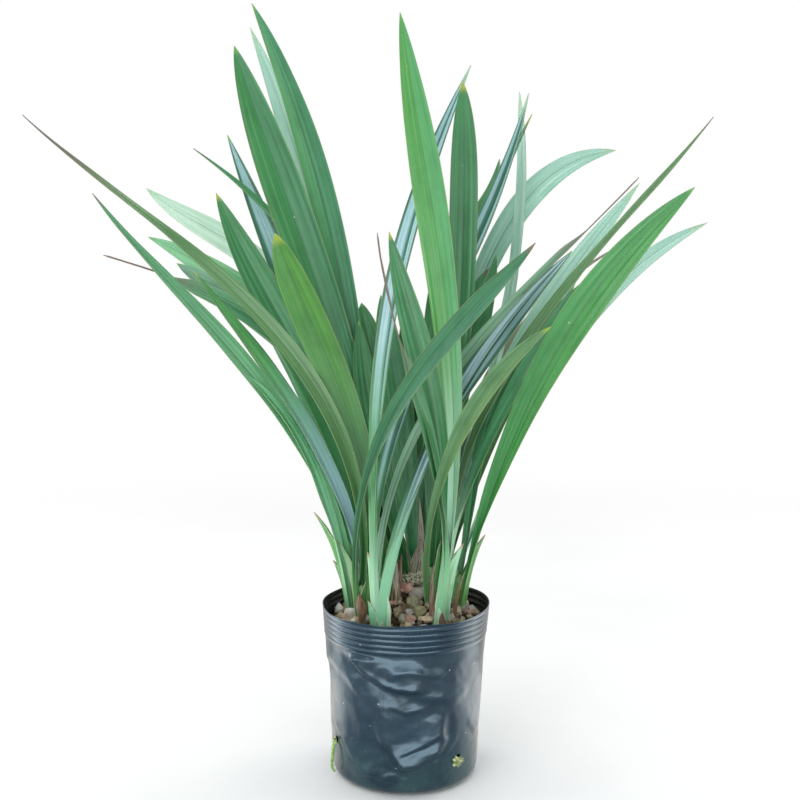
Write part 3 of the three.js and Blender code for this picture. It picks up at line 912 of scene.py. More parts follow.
@dataclass(frozen=True)
class Blade:
    """A folded strap along a curve.

    Attributes:
        foot: Where it starts.
        low: The point that it passes at a third of its length.
        high: The point that it passes at two thirds.
        tip: Where it ends.
        width: Its full width, measured over both halves.
        face_foot: The azimuth that its upper face looks to at the foot.
        face_tip: The same at the tip.
        form: How it is cut and folded.
        thickness: Its thickness.
        rows: Cells along it.
        columns: Cells across it.
        wave: How far its edges wave.
        seed: What makes it differ from the others.
    """

    foot: Point
    low: Point
    high: Point
    tip: Point
    width: float
    face_foot: float
    face_tip: float
    form: Form = PLAIN
    thickness: float = 0.6
    rows: int = 76
    columns: int = 24
    wave: float = 0.8
    seed: int = 1

    TIP_ROUND = 0.85
    TIP_HALF_WIDTH = 0.25
    THREAD_HALF_WIDTH = 0.75
    RIB_ROUNDING = 0.06
    PLEATS = 2.5
    PLEAT_DEPTH = 0.022

    def half_width(self, along: np.ndarray) -> np.ndarray:
        """The width of one half at shares of the length.

        Args:
            along: Shares of the length, from 0 at the foot to 1 at the tip.

        Returns:
            Half the width at each.
        """
        form = self.form
        rise = mix(form.foot_share, 1.0, smooth(0.0, form.widest_at, along))
        towards_tip = np.clip((along - form.tip_from) / (1.0 - form.tip_from), 0.0, 1.0)
        taper = (1.0 - towards_tip**form.tip_power) ** self.TIP_ROUND
        half = self.width / 2 * rise * taper
        if form.thread:
            shrunk = smooth(1.0 - 1.35 * form.thread, 1.0 - 0.9 * form.thread, along)
            half = mix(half, np.minimum(half, self.THREAD_HALF_WIDTH), shrunk)
        return np.maximum(half, self.TIP_HALF_WIDTH)

    def middle(self, along: np.ndarray) -> tuple[np.ndarray, np.ndarray]:
        """The rib's places and unit tangents, on the cubic that passes all four points.

        Args:
            along: Shares of the length, from 0 at the foot to 1 at the tip.

        Returns:
            The places and the tangents, one row each.
        """
        a, b, c, d = (np.array(point) for point in (self.foot, self.low, self.high, self.tip))
        near = -5 / 6 * a + 3 * b - 1.5 * c + 1 / 3 * d
        far = 1 / 3 * a - 1.5 * b + 3 * c - 5 / 6 * d
        t = along[:, None]
        place = (1 - t) ** 3 * a + 3 * (1 - t) ** 2 * t * near + 3 * (1 - t) * t**2 * far + t**3 * d
        tangent = (1 - t) ** 2 * (near - a) + 2 * (1 - t) * t * (far - near) + t**2 * (d - far)
        return place, tangent / np.linalg.norm(tangent, axis=1)[:, None]

    def build(self, name: str) -> Piece:
        """Lays a fine grid along the curve and folds it about its rib.

        Args:
            name: The new piece's name.

        Returns:
            The open surface, its UV map from 0 to 1 across and along.
        """
        bpy.ops.object.select_all(action="DESELECT")
        bpy.ops.mesh.primitive_grid_add(x_subdivisions=self.columns, y_subdivisions=self.rows, size=2.0)
        piece = bpy.context.active_object
        piece.name = name
        side, along = self.shares(piece)
        corners = np.zeros(len(piece.data.loops), dtype=np.int32)
        piece.data.loops.foreach_get("vertex_index", corners)
        chart = np.stack([(side[corners] + 1.0) / 2.0, along[corners]], axis=1)
        piece.data.uv_layers.active.data.foreach_set("uv", chart.ravel())
        move_points(piece, self.surface(side, along))
        return piece

    def shares(self, piece: Piece) -> tuple[np.ndarray, np.ndarray]:
        """Where each point of the flat grid goes: its share across and its share along.

        Args:
            piece: The flat grid.

        Returns:
            The shares across and the shares along.
        """
        flat = points_of(piece) * MM
        side = np.clip(flat[:, 0], -1.0, 1.0)
        along = 1.0 - (1.0 - np.clip((flat[:, 1] + 1.0) / 2.0, 0.0, 1.0)) ** 1.25
        return side, along

    def surface(self, side: np.ndarray, along: np.ndarray) -> np.ndarray:
        """Where points of the upper face lie.

        Args:
            side: From -1 at one margin over 0 at the rib to 1 at the other margin.
            along: From 0 at the foot to 1 at the tip.

        Returns:
            The points, one row each.
        """
        place, tangent = self.middle(along)
        azimuth = np.radians(mix(self.face_foot, self.face_tip, smooth(0.0, 1.0, along)))
        normal = np.stack([np.sin(azimuth), -np.cos(azimuth), np.zeros_like(azimuth)], axis=1)
        normal -= np.sum(normal * tangent, axis=1)[:, None] * tangent
        normal /= np.linalg.norm(normal, axis=1)[:, None]
        across = np.cross(tangent, normal)
        half = self.half_width(along)
        form = self.form
        fold = np.radians(mix(form.fold_foot, form.fold_top, smooth(0.0, form.opens_by, along)))
        reach = np.abs(side)
        k = self.RIB_ROUNDING
        rounded = (np.sqrt(reach**2 + k**2) - k) / (math.sqrt(1 + k**2) - k)
        phase = (self.seed * 2.399) % (2 * math.pi)
        body = smooth(0.02, 0.2, along) * (1.0 - smooth(0.86, 1.0, along))
        bulge = 0.045 * half * np.sin(math.pi * reach) * body
        drift = phase + 0.5 * np.sin(along * 3.0 + phase)
        pleat = self.PLEAT_DEPTH * half * np.cos(2 * math.pi * self.PLEATS * reach + drift)
        pleat = pleat * body * smooth(0.0, 0.15, reach) * (1 - smooth(0.85, 1.0, reach))
        swing = np.sin(along * 15.0 + phase + 1.3 * side) + 0.6 * np.sin(along * 29.0 - phase + side)
        ripple = self.wave * 0.6 * reach**2.5 * swing * body
        lean = 0.03 * half * np.sin(along * 9.0 + phase)
        rise = half * np.sin(fold) * rounded + bulge + pleat + ripple
        spread = side * half * np.cos(fold) + lean * (1 - reach)
        return place + across * spread[:, None] + normal * rise[:, None]


@dataclass(frozen=True)
class BladeColours:
    """The colours that one strap keeps on its mesh.

    Attributes:
        blade: The blade's own colour.
        streak: The colour of its lengthwise streaks.
        streak_share: How strong the streaks are.
        foot: The colour of its foot, which for a few leaves is painted shade or a painted reflection
            instead.
        foot_reach: The share of the length that the foot's colour takes.
        tip: The colour of its tip.
        tip_reach: The share of the length that the tip's colour takes.
        tint: How much warmer the right half is than the left one, from -1 to 1; this is painted light, the
            warmer half painted as lit and the cooler as shaded.
    """

    blade: str
    streak: str
    streak_share: float
    foot: str
    foot_reach: float
    tip: str
    tip_reach: float
    tint: float = 0.0

    WARMER = np.array([0.16, 0.05, -0.2])
    # Dark green of the painted shade in the groove, also used for the dark margins.
    GROOVE = "#1f6242"
    # Plain green below the painted sheen, near the foot.
    UNSHEENED_GREEN = "#5ba368"

    def lay(self, piece: Piece, blade: Blade) -> None:
        """Keeps the colours on a mesh as attributes, each with its number as alpha.

        Args:
            piece: The strap before it is given its thickness.
            blade: The shape that it was laid by.
        """
        side, along = self.sides(piece)
        count = len(side)
        base = np.tile(paint(self.blade)[:3], (count, 1))
        # Painted light: the half that tint makes warmer and yellower stands for the lit half, the cooler
        # half for the shaded one.
        warm = (self.tint * smooth(-0.5, 0.5, side) * 2.0 - self.tint)[:, None]
        base = base * (1.0 + warm * self.WARMER)
        form, half = blade.form, np.abs(side)
        # Painted shade down the groove along the rib, where form.groove asks, and darker margins, where
        # form.edge asks, both mixed towards the GROOVE green.
        dark = np.zeros(count)
        if form.groove:
            dark = np.maximum(dark, 1.0 - smooth(0.7 * form.groove, 1.3 * form.groove, half))
        if form.edge:
            dark = np.maximum(dark, smooth(1.0 - 1.3 * form.edge, 1.0 - 0.8 * form.edge, half))
        base = mix(base, np.array(paint(self.GROOVE)[:3]), 0.92 * dark[:, None])
        # Near the foot the blade stays plain green; above green_to the pale tones keep their painted sheen.
        if form.green_to:
            unsheened = 1.0 - smooth(0.6 * form.green_to, form.green_to + 0.2, along)
            base = mix(base, np.array(paint(self.UNSHEENED_GREEN)[:3]), unsheened[:, None])
        seed = (blade.seed * 0.137) % 1.0
        self.keep(piece, "blade_colour", base, seed)
        self.keep(piece, "streak_colour", np.tile(paint(self.streak)[:3], (count, 1)), self.streak_share)
        self.keep(piece, "foot_colour", np.tile(paint(self.foot)[:3], (count, 1)), self.foot_reach)
        self.keep(piece, "tip_colour", np.tile(paint(self.tip)[:3], (count, 1)), self.tip_reach)

    @staticmethod
    def sides(piece: Piece) -> tuple[np.ndarray, np.ndarray]:
        """Reads each point's shares across and along back from the UV map.

        Args:
            piece: The strap.

        Returns:
            The shares across and the shares along.
        """
        mesh = piece.data
        corners = np.zeros(len(mesh.loops), dtype=np.int32)
        mesh.loops.foreach_get("vertex_index", corners)
        chart = np.zeros(len(mesh.loops) * 2)
        mesh.uv_layers.active.data.foreach_get("uv", chart)
        chart = chart.reshape(-1, 2)
        shares = np.zeros((len(mesh.vertices), 2))
        shares[corners] = chart
        return shares[:, 0] * 2.0 - 1.0, shares[:, 1]

    @staticmethod
    def keep(piece: Piece, name: str, colours: np.ndarray, alpha: float) -> None:
        """Writes one colour per point under a name, with the same alpha for all.

        Args:
            piece: The piece.
            name: The name to keep them under.
            colours: A colour for each point.
            alpha: A fourth value for each point.
        """
        attribute = piece.data.color_attributes.new(name, "FLOAT_COLOR", "POINT")
        full = np.concatenate([colours, np.full((len(colours), 1), alpha)], axis=1)
        attribute.data.foreach_set("color", full.ravel())


class BladeSkins:
    """The three finishes that leaves share: upper face, lower face and margin."""

    def __init__(self) -> None:
        """Builds the shared materials."""
        self.leaf = [
            BladeFinish("leaf_upper").material(),
            BladeFinish(
                "leaf_lower", paleness=0.2, rib_colour="#8fb883", rib_share=0.3, roughness=0.46, coat=0.15
            ).material(),
            BladeFinish("leaf_margin", margin_colour="#87925e", margin_share=0.5, coat=0.0).material(),
        ]
        self.sheath = [
            BladeFinish(
                "sheath_outer",
                rib_colour="#cfe8c4",
                rib_share=0.3,
                vein_count=9.0,
                vein_share=0.25,
                margin_colour="#e6e0cc",
                margin_share=0.85,
                roughness=0.44,
                speck_share=0.2,
            ).material()
        ]

    def dress(self, piece: Piece, skins: Sequence[Material], thickness: float) -> None:
        """Gives a folded strap its thickness, with another finish below and on its margins.

        Args:
            piece: The strap.
            skins: Its finishes, the upper face's first.
            thickness: How thick it becomes, in millimetres.
        """
        for skin in skins:
            piece.data.materials.append(skin)
        last = len(skins) - 1
        apply_modifier(
            piece,
            "SOLIDIFY",
            thickness=thickness * MM,
            offset=-1.0,
            material_offset=min(1, last),
            material_offset_rim=min(2, last),
        )


# The soil


@dataclass
class Soil:
    """A heap of dark soil behind the middle of the pot, strewn with stone chips."""

    rim_z: float = 149.0
    mound_height: float = 27.0
    mound_centre: Spot = (7.0, 34.0)
    mound_spread: float = 32.0
    roughness: float = 1.6
    stone_count: int = 34
    stone_size: Spot = (4.8, 9.2)
    stone_seed: int = 11
    small_stones: int = 190
    small_stone_size: Spot = (2.2, 5.2)
    crumbs: int = 420
    edge_radius: float = 77.2
    stone_reach: float = 76.4
    sides: int = 120
    stone_spread: float = 67.0
    small_stone_spread: float = 73.0
    small_stone_seed: int = 5
    crumb_spread: float = 74.5
    crumb_seed: int = 91
    model_seed: int = 77
    profile: tuple[Spot, ...] = (
        (55.0, 1.6), (58.0, 4.0), (60.0, 20.0), (63.0, 80.0), (68.0, 128.0), (75.5, 141.0),
    )
    accents: tuple[tuple[Spot, float, StoneKind], ...] = (
        ((-66.0, 30.0), 8.4, StoneKind.WHITE),
        ((-59.0, 46.0), 6.4, StoneKind.PINK),
        ((-52.0, 3.0), 7.8, StoneKind.WHITE),
        ((-40.0, -9.0), 8.6, StoneKind.WHITE),
        ((3.0, 22.0), 7.4, StoneKind.PINK),
        ((9.0, 1.0), 9.0, StoneKind.OLIVE),
        ((13.0, -10.0), 7.0, StoneKind.OLIVE),
        ((2.5, -19.0), 7.0, StoneKind.PINK),
        ((19.0, -22.0), 6.6, StoneKind.BEIGE),
        ((-6.0, -7.0), 6.4, StoneKind.BEIGE),
        ((26.0, 22.0), 7.0, StoneKind.WHITE),
        ((42.0, -14.0), 6.8, StoneKind.WHITE),
        ((57.0, 26.0), 7.0, StoneKind.BEIGE),
        ((49.0, 1.0), 6.4, StoneKind.BEIGE),
        ((66.0, 22.0), 6.0, StoneKind.WHITE),
    )

    def height_at(self, x: float, y: float) -> float:
        """How high the soil stands at a place.

        Args:
            x: Distance to the right of the middle.
            y: Distance behind the middle.

        Returns:
            The height.
        """
        cx, cy = self.mound_centre
        mound = self.mound_height * np.exp(-((x - cx) ** 2 + (y - cy) ** 2) / (2 * self.mound_spread**2))
        rough = np.sin(x * 0.31 + y * 0.17) + np.sin(y * 0.37 - x * 0.11)
        return self.rim_z + mound + 0.5 * self.roughness * rough

    def build(self) -> None:
        """Builds the heap, its stones and its crumbs."""
        self.build_heap()
        self.build_stones()
        self.build_crumbs()

    def build_heap(self) -> None:
        """Raises the heap ring by ring and roughens its top."""
        rows = [*self.profile, (self.edge_radius, 147.0)]
        rows += [(radius, self.rim_z + 1.0) for radius in np.linspace(self.edge_radius - 0.6, 1.0, 34)]
        heap = turned("soil_heap", rows, self.sides)
        points = points_of(heap)
        for index, (x, y, z) in enumerate(points):
            if z > self.rim_z - 1.0:
                grit = noise.fractal(Vector((x, y, 3.0)) * 0.16, 0.7, 2.1, 5)
                points[index, 2] = self.height_at(x, y) + 1.5 * grit - 0.5
        move_points(heap, points)
        shade(heap)
        heap.data.materials.append(EarthFinish().material())
        seat(heap, Slot.SOIL, "substrate")

    def stone_models(self) -> list[Piece]:
        """Models a few broken stones: balls cut flat on all sides, their edges eased.

        Returns:
            The stones to copy.
        """
        draws = Draws(self.model_seed)
        models = []
        for number in range(8):
            bpy.ops.object.select_all(action="DESELECT")
            bpy.ops.mesh.primitive_ico_sphere_add(subdivisions=2, radius=1.3)
            model = bpy.context.active_object
            model.name = f"stone_model_{number}"
            with editing(model):
                for _ in range(14):
                    lean = Vector([draws.between(-1, 1) for _ in range(3)]).normalized()
                    bpy.ops.mesh.select_all(action="SELECT")
                    bpy.ops.mesh.bisect(
                        plane_co=lean * draws.between(0.66, 1.0),
                        plane_no=lean,
                        use_fill=True,
                        clear_outer=True,
                    )
                bpy.ops.mesh.select_all(action="SELECT")
                bpy.ops.mesh.dissolve_limited(angle_limit=math.radians(14))
            sharp = math.radians(20)
            apply_modifier(model, "BEVEL", width=0.06, segments=2, limit_method="ANGLE", angle_limit=sharp)
            shade(model, 30.0)
            models.append(model)
        return models

    def build_stones(self) -> None:
        """Lays the frame's own stones, the ones the eye falls on, and smaller ones between them."""
        models = self.stone_models()
        common = [StoneKind[name] for name in ("BEIGE", "PINK", "OLIVE", "GREY", "WHITE", "BEIGE")]
        heaps: dict[StoneKind, list[Piece]] = {kind: [] for kind in StoneKind}
        draws = Draws(self.stone_seed)
        for index in range(self.stone_count):
            radius = self.stone_spread * math.sqrt((index + 0.5) / self.stone_count)
            angle = index * GOLDEN_TURN + draws.between(-0.25, 0.25)
            x = radius * math.cos(angle) + draws.between(-2, 2)
            y = radius * math.sin(angle) + draws.between(-2, 2)
            size = mix(*self.stone_size, draws.one() ** 1.5)
            scale = (draws.between(0.8, 1.25), draws.between(0.7, 1.0), draws.between(0.5, 0.8))
            lean = (draws.between(-0.7, 0.7), draws.between(-0.7, 0.7), 2 * math.pi * draws.one())
            z = self.height_at(x, y) + size * draws.between(0, 0.35)
            kind = common[index % len(common)]
            heaps[kind].append(self.stone(models[index % len(models)], (x, y, z), size, scale, lean))
        extra = Draws(self.small_stone_seed)
        for (x, y), size, kind in self.accents:
            heaps[kind].append(self.loose_stone(extra, models, x, y, size))
        for index in range(self.small_stones):
            radius = self.small_stone_spread * math.sqrt((index + 0.5) / self.small_stones)
            angle = index * GOLDEN_TURN + extra.between(-0.3, 0.3)
            kind = StoneKind.BARK if index % 9 == 4 else common[(index * 5 + index // 7) % len(common)]
            size = extra.between(*self.small_stone_size)
            x, y = radius * math.cos(angle), radius * math.sin(angle)
            heaps[kind].append(self.loose_stone(extra, models, x, y, size))
        for kind, stones in heaps.items():
            heap = joined(stones, f"stones_{kind.name.lower()}")
            heap.data.materials.clear()
            heap.data.materials.append(StoneFinish(kind).material())
            seat(heap, Slot.SOIL)
        discard(models)

    def loose_stone(
        self, draws: Draws, models: Sequence[Piece], x: float, y: float, size: float
    ) -> Piece:
        """Lays one stone half sunk in the soil, turned at random.

        Args:
            draws: The random draws.
            models: The stones to copy.
            x: Distance to the right of the middle.
            y: Distance behind the middle.
            size: Half its width.

        Returns:
            The stone.
        """
        scale = (draws.between(0.85, 1.2), draws.between(0.75, 1.05), draws.between(0.6, 0.9))
        lean = (draws.between(-0.6, 0.6), draws.between(-0.6, 0.6), 2 * math.pi * draws.one())
        z = self.height_at(x, y) + size * draws.between(0.15, 0.5)
        return self.stone(draws.choice(models), (x, y, z), size, scale, lean)

    def stone(
        self, model: Piece, at: Point, size: float, scale: Point, lean: Point
    ) -> Piece:
        """Copies a model stone to its place and presses it flat where it meets the film.

        Args:
            model: The stone, about one unit in radius.
            at: Where its middle goes.
            size: Its radius.
            scale: Its stretch along its own three axes.
            lean: Its turns about X, Y and Z, in radians, one after the other.

        Returns:
            The stone.
        """
        stretch = Matrix.Diagonal((*(size * MM * share for share in scale), 1.0))
        turn = Matrix.Identity(4)
        for axis, angle in zip("XYZ", lean):
            turn = Matrix.Rotation(angle, 4, axis) @ turn
        stone = copy_of(model, Matrix.Translation(Vector(at) * MM) @ turn @ stretch)
        points = points_of(stone)
        reach = np.hypot(points[:, 0], points[:, 1])
        points[:, :2] *= np.minimum(1.0, self.stone_reach / np.maximum(reach, 1.0))[:, None]
        move_points(stone, points)
        return stone

    def build_crumbs(self) -> None:
        """Strews small crumbs of soil and grit between the stones."""
        bpy.ops.object.select_all(action="DESELECT")
        bpy.ops.mesh.primitive_ico_sphere_add(subdivisions=1, radius=1.0)
        model = bpy.context.active_object
        draws = Draws(self.crumb_seed)
        crumbs = []
        for index in range(self.crumbs):
            radius = self.crumb_spread * math.sqrt((index + 0.5) / self.crumbs)
            angle = index * GOLDEN_TURN + draws.between(-0.4, 0.4)
            x, y = radius * math.cos(angle), radius * math.sin(angle)
            size = draws.between(0.7, 2.0)
            scale = (draws.between(0.7, 1.3), draws.between(0.7, 1.3), draws.between(0.5, 1.0))
            lean = (draws.between(-1, 1), draws.between(-1, 1), 2 * math.pi * draws.one())
            crumbs.append(self.stone(model, (x, y, self.height_at(x, y) + 0.8 * size), size, scale, lean))
        heap = joined(crumbs, "soil_crumbs")
        shade(heap, 20.0)
        heap.data.materials.append(EarthFinish("loose_crumbs", dark="#4a3c2e", light="#b9a482").material())
        seat(heap, Slot.SOIL)
        discard([model])


# The pot


@dataclass(frozen=True)
class Dent:
    """A soft dent in the film: its middle, half length, half width, slope and depth."""

    azimuth: float
    z: float
    length: float
    width: float
    slope: float
    depth: float


@dataclass(frozen=True)
class Drape:
    """A crease along which slack film hangs over the film below it.

    Attributes:
        line: Azimuth and height of its turns, from left to right.
        hang: How far the film stands out just above the crease.
        above: How far up the bulge reaches.
        tuck: How far the film is drawn in just below the crease.
        below: How far down that reaches.
        drop: The height over which it falls from one to the other.
    """

    line: tuple[Spot, ...]
    hang: float
    above: float
    tuck: float
    below: float
    drop: float = 2.4

    def relief(self, azimuth: np.ndarray, z: np.ndarray) -> np.ndarray:
        """How far the film stands out, or in where it is less than 0.

        Args:
            azimuth: The direction, in degrees.
            z: The height.

        Returns:
            How far it stands out at each.
        """
        start, end = self.line[0][0], self.line[-1][0]
        middle = (start + end) / 2
        turn = (azimuth - middle + 540.0) % 360.0 - 180.0 + middle
        crease = np.interp(turn, [spot[0] for spot in self.line], [spot[1] for spot in self.line])
        width = end - start
        ends = smooth(-0.04, 0.2, (turn - start) / width) * (1.0 - smooth(0.8, 1.04, (turn - start) / width))
        up = z - crease
        bulge = self.hang * np.clip(1.0 - up / self.above, 0.0, 1.0) ** 1.15
        hollow = -self.tuck * (1.0 - smooth(0.0, self.below, -up))
        step = smooth(-self.drop, 0.2 * self.drop, up)
        return ends * (np.minimum(bulge, self.hang) * step + hollow * (1.0 - step))


@dataclass
class NurseryPot:
    """A pot of thin film with five ribs under its rim."""

    height: float = 170.0
    rim_radius: float = 80.0
    base_radius: float = 70.5
    film: float = 0.6
    rib_count: int = 5
    rib_pitch: float = 5.4
    rib_relief: float = 1.7
    rib_top_z: float = 165.0
    rim_corner_azimuth: float = 105.0
    rim_corner_relief: float = 3.0
    drain_radius: float = 3.2
    drains: tuple[Spot, ...] = ((-65.0, 42.0), (44.5, 32.0), (130.0, 36.0), (-150.0, 34.0))
    mould_lines: tuple[float, ...] = (-40.0, -16.0, 9.5, 35.0)
    sides: int = 216
    dents: tuple[Dent, ...] = (
        Dent(55, 96, 30, 13, -36, 2.0),
        Dent(-25, 120, 32, 11, -24, 2.8),
        Dent(0, 52, 22, 15, 10, 3.0),
        Dent(-88, 95, 26, 26, 0, 2.2),
        Dent(160, 84, 34, 14, 18, 3.0),
        Dent(-140, 60, 26, 13, -30, 2.6),
    )
    drapes: tuple[Drape, ...] = (
        Drape(
            ((-50, 141), (-41, 137), (-34, 126), (-24, 118), (-14, 111), (-6, 108), (16, 107)),
            7.2, 30, 0.8, 24, 6.0,
        ),
        Drape(((-12, 119), (-5, 124), (3, 126), (16, 120)), 2.2, 11, 0.6, 7, 6.0),
        Drape(((12, 122), (20, 118), (30, 121)), 1.6, 10, 0.5, 8, 4.0),
        Drape(((0, 104), (14, 100), (26, 96), (40, 93), (58, 99)), 1.7, 15, 0.6, 16, 8.0),
        Drape(((-24, 64), (-13, 51), (-3, 30), (10, 33), (34, 54)), 7.6, 42, 0.5, 14, 9.0),
        Drape(((-5, 42), (10, 50), (29, 62)), 1.3, 11, 0.9, 10, 2.0),
        Drape(((20, 28), (32, 40), (44, 56)), 0.9, 16, 0.4, 12, 7.0),
        Drape(((-12, 90), (0, 84), (12, 88)), 1.4, 10, 0.6, 8, 3.0),
        Drape(((-88, 116), (-66, 124), (-46, 112), (-34, 100)), 1.3, 18, 0.7, 14, 9.0),
        Drape(((-84, 52), (-66, 60), (-52, 46), (-40, 28)), 1.2, 22, 0.6, 16, 9.0),
        Drape(((-46, 14), (-28, 20), (-8, 14), (8, 17)), 1.6, 12, 0.5, 8, 4.0),
        Drape(((52, 66), (66, 50), (84, 62)), 1.1, 18, 0.6, 14, 8.0),
        Drape(((96, 120), (125, 106), (150, 112), (178, 96)), 3.4, 22, 1.2, 20, 4.0),
        Drape(((-178, 78), (-155, 92), (-128, 70), (-104, 84)), 3.0, 22, 1.2, 20, 4.0),
        Drape(((110, 52), (136, 40), (160, 56)), 2.6, 18, 1.0, 14, 4.0),
    )

    def wall_radius(self, azimuth: np.ndarray, z: np.ndarray) -> np.ndarray:
        """The radius of the film's outer face, with its soft dents but no ribs or creases.

        Args:
            azimuth: The direction, in degrees.
            z: The height.

        Returns:
            The radius at each.
        """
        cone = mix(self.base_radius, self.rim_radius, z / self.height)
        depth = np.zeros_like(cone)
        for dent in self.dents:
            turn = (azimuth - dent.azimuth + 540.0) % 360.0 - 180.0
            along = np.radians(turn) * self.base_radius
            tilt = math.radians(dent.slope)
            up = z - dent.z
            u = along * math.cos(tilt) + up * math.sin(tilt)
            v = up * math.cos(tilt) - along * math.sin(tilt)
            depth = depth + dent.depth * np.exp(-((u / dent.length) ** 2) - (v / dent.width) ** 2)
        depth = depth * smooth(4, 24, z) * (1.0 - smooth(132, 140, z))
        turn = (azimuth - self.rim_corner_azimuth + 540.0) % 360.0 - 180.0
        corner = self.rim_corner_relief * np.exp(-((turn / 22.0) ** 2)) * smooth(110, self.height, z)
        return cone - depth + corner

    def foot_inset(self, z: np.ndarray) -> np.ndarray:
        """How far the film rounds inward near the ground."""
        return 7.0 * (1.0 - np.clip(z / 12.0, 0.0, 1.0)) ** 3.6

    def ribs(self, azimuth: np.ndarray, z: np.ndarray) -> np.ndarray:
        """How far the ribs stand out, less at the sides, where the film is drawn tight.

        Args:
            azimuth: The direction, in degrees.
            z: The height.

        Returns:
            How far they stand out at each.
        """
        low = self.rib_top_z - (self.rib_count - 0.5) * self.rib_pitch
        phase = (z - low) / self.rib_pitch
        inside = (phase > 0) & (phase < self.rib_count)
        relief = self.rib_relief * (1.0 - 0.6 * self.tightness(azimuth))
        return np.where(inside, relief * np.abs(np.sin(math.pi * phase)) ** 0.7, 0.0)

    @staticmethod
    def tightness(azimuth: np.ndarray) -> np.ndarray:
        """How tightly the film is drawn, from 0 at the front and the back to 1 at its sides.

        Args:
            azimuth: The direction, in degrees.

        Returns:
            A share for each.
        """
        turn = (azimuth + 180.0) % 360.0 - 180.0
        front = np.maximum(smooth(30.0, 50.0, turn), smooth(46.0, 64.0, -turn))
        return front * (1.0 - smooth(105.0, 125.0, np.abs(turn)))

    def creases(self, azimuth: np.ndarray, z: np.ndarray) -> np.ndarray:
        """How far the drapes stand out or in."""
        relief = sum(drape.relief(azimuth, z) for drape in self.drapes)
        return relief * smooth(3, 18, z) * (1.0 - smooth(134, 140, z))

    def crumple(self, azimuth: np.ndarray, z: np.ndarray) -> np.ndarray:
        """The film's shallow irregular facets, softer on the ribs.

        Args:
            azimuth: The direction, in degrees.
            z: The height.

        Returns:
            How far it stands out at each.
        """
        relief = np.zeros_like(z)
        for index, (turn, height) in enumerate(zip(np.radians(azimuth), z)):
            place = Vector((math.sin(turn), -math.cos(turn), height / self.base_radius))
            broad = noise.noise(place * 2.3)
            creased = 0.5 - abs(noise.noise(place * 4.7 + Vector((7.0, 0.0, 0.0)))) * 2.0
            small = 0.5 - abs(noise.noise(place * 11.0 + Vector((0.0, 5.0, 0.0)))) * 2.0
            relief[index] = 1.2 * broad + 0.7 * creased + 0.14 * small
        calm = smooth(0, 14, z) * (1.0 - 0.8 * smooth(130, 140, z))
        return relief * calm * (1.0 - 0.6 * self.tightness(azimuth))

    def surface(self, azimuth: np.ndarray, z: np.ndarray) -> np.ndarray:
        """The radius of the finished outer face.

        Args:
            azimuth: The direction, in degrees.
            z: The height.

        Returns:
            The radius at each.
        """
        shape = self.wall_radius(azimuth, z) - self.foot_inset(z) + self.ribs(azimuth, z)
        flare = 0.7 * smooth(168, 170, z)
        return shape + flare + self.creases(azimuth, z) + self.crumple(azimuth, z)

    def build(self) -> None:
        """Builds the film and the fine lines that its mould left."""
        self.build_film()
        self.build_mould_lines()

    def build_film(self) -> None:
        """Extrudes the wall from the bottom up, presses its ribs and creases, and cuts the drain holes."""
        low = self.rib_top_z - (self.rib_count - 0.5) * self.rib_pitch
        heights = [0.0, 0.4, 0.9, 1.6, 2.5, 3.6, 5.0, 6.8, 9.0, 12.0]
        heights += list(np.linspace(13.5, low, 78))
        heights += list(np.linspace(low, self.rib_top_z + 2.7, self.rib_count * 9 + 1))[1:]
        heights += [168.4, 169.1, 169.6, self.height]
        rows = [(20.0, 0.0), (45.0, 0.0)]
        for z in heights:
            cone = mix(self.base_radius, self.rim_radius, z / self.height)
            rows.append((cone - float(self.foot_inset(z)), z))
        pot = turned("pot_film", rows, self.sides, open_top=True)
        points = points_of(pot)
        azimuth = np.degrees(np.arctan2(points[:, 0], -points[:, 1]))
        z = points[:, 2].copy()
        radius = np.hypot(points[:, 0], points[:, 1])
        wall = radius > 60.0
        reach = np.where(wall, self.surface(azimuth, z), radius)
        turn = np.radians(azimuth)
        lip = 0.7 * np.sin(3 * turn + 1.0) + 0.5 * np.sin(7 * turn)
        points[:, 0] = reach * np.sin(turn)
        points[:, 1] = -reach * np.cos(turn)
        points[:, 2] = z + lip * smooth(150, 170, z) - 0.6 * smooth(166, 170, z)
        move_points(pot, points)
        finish = FilmFinish()
        pot.data.materials.append(finish.material())
        pot.data.materials.append(finish.inner_material())
        apply_modifier(pot, "SOLIDIFY", thickness=self.film * MM, offset=-1.0, material_offset=1)
        self.cut_drains(pot)
        shade(pot, 60.0)
        seat(pot, Slot.FILM, "pot")

    def cut_drains(self, pot: Piece) -> None:
        """Cuts the round drain holes through the film.

        Args:
            pot: The pot.
        """
        for azimuth, z in self.drains:
            out = heading(azimuth)
            bpy.ops.object.select_all(action="DESELECT")
            bpy.ops.mesh.primitive_cylinder_add(
                vertices=20,
                radius=self.drain_radius * MM,
                depth=24 * MM,
                location=(out * 72.0 + Vector((0.0, 0.0, z))) * MM,
                rotation=out.to_track_quat("Z", "Y").to_euler(),
            )
            cutter = bpy.context.active_object
            apply_modifier(pot, "BOOLEAN", operation="DIFFERENCE", solver="EXACT", object=cutter)
            discard([cutter])

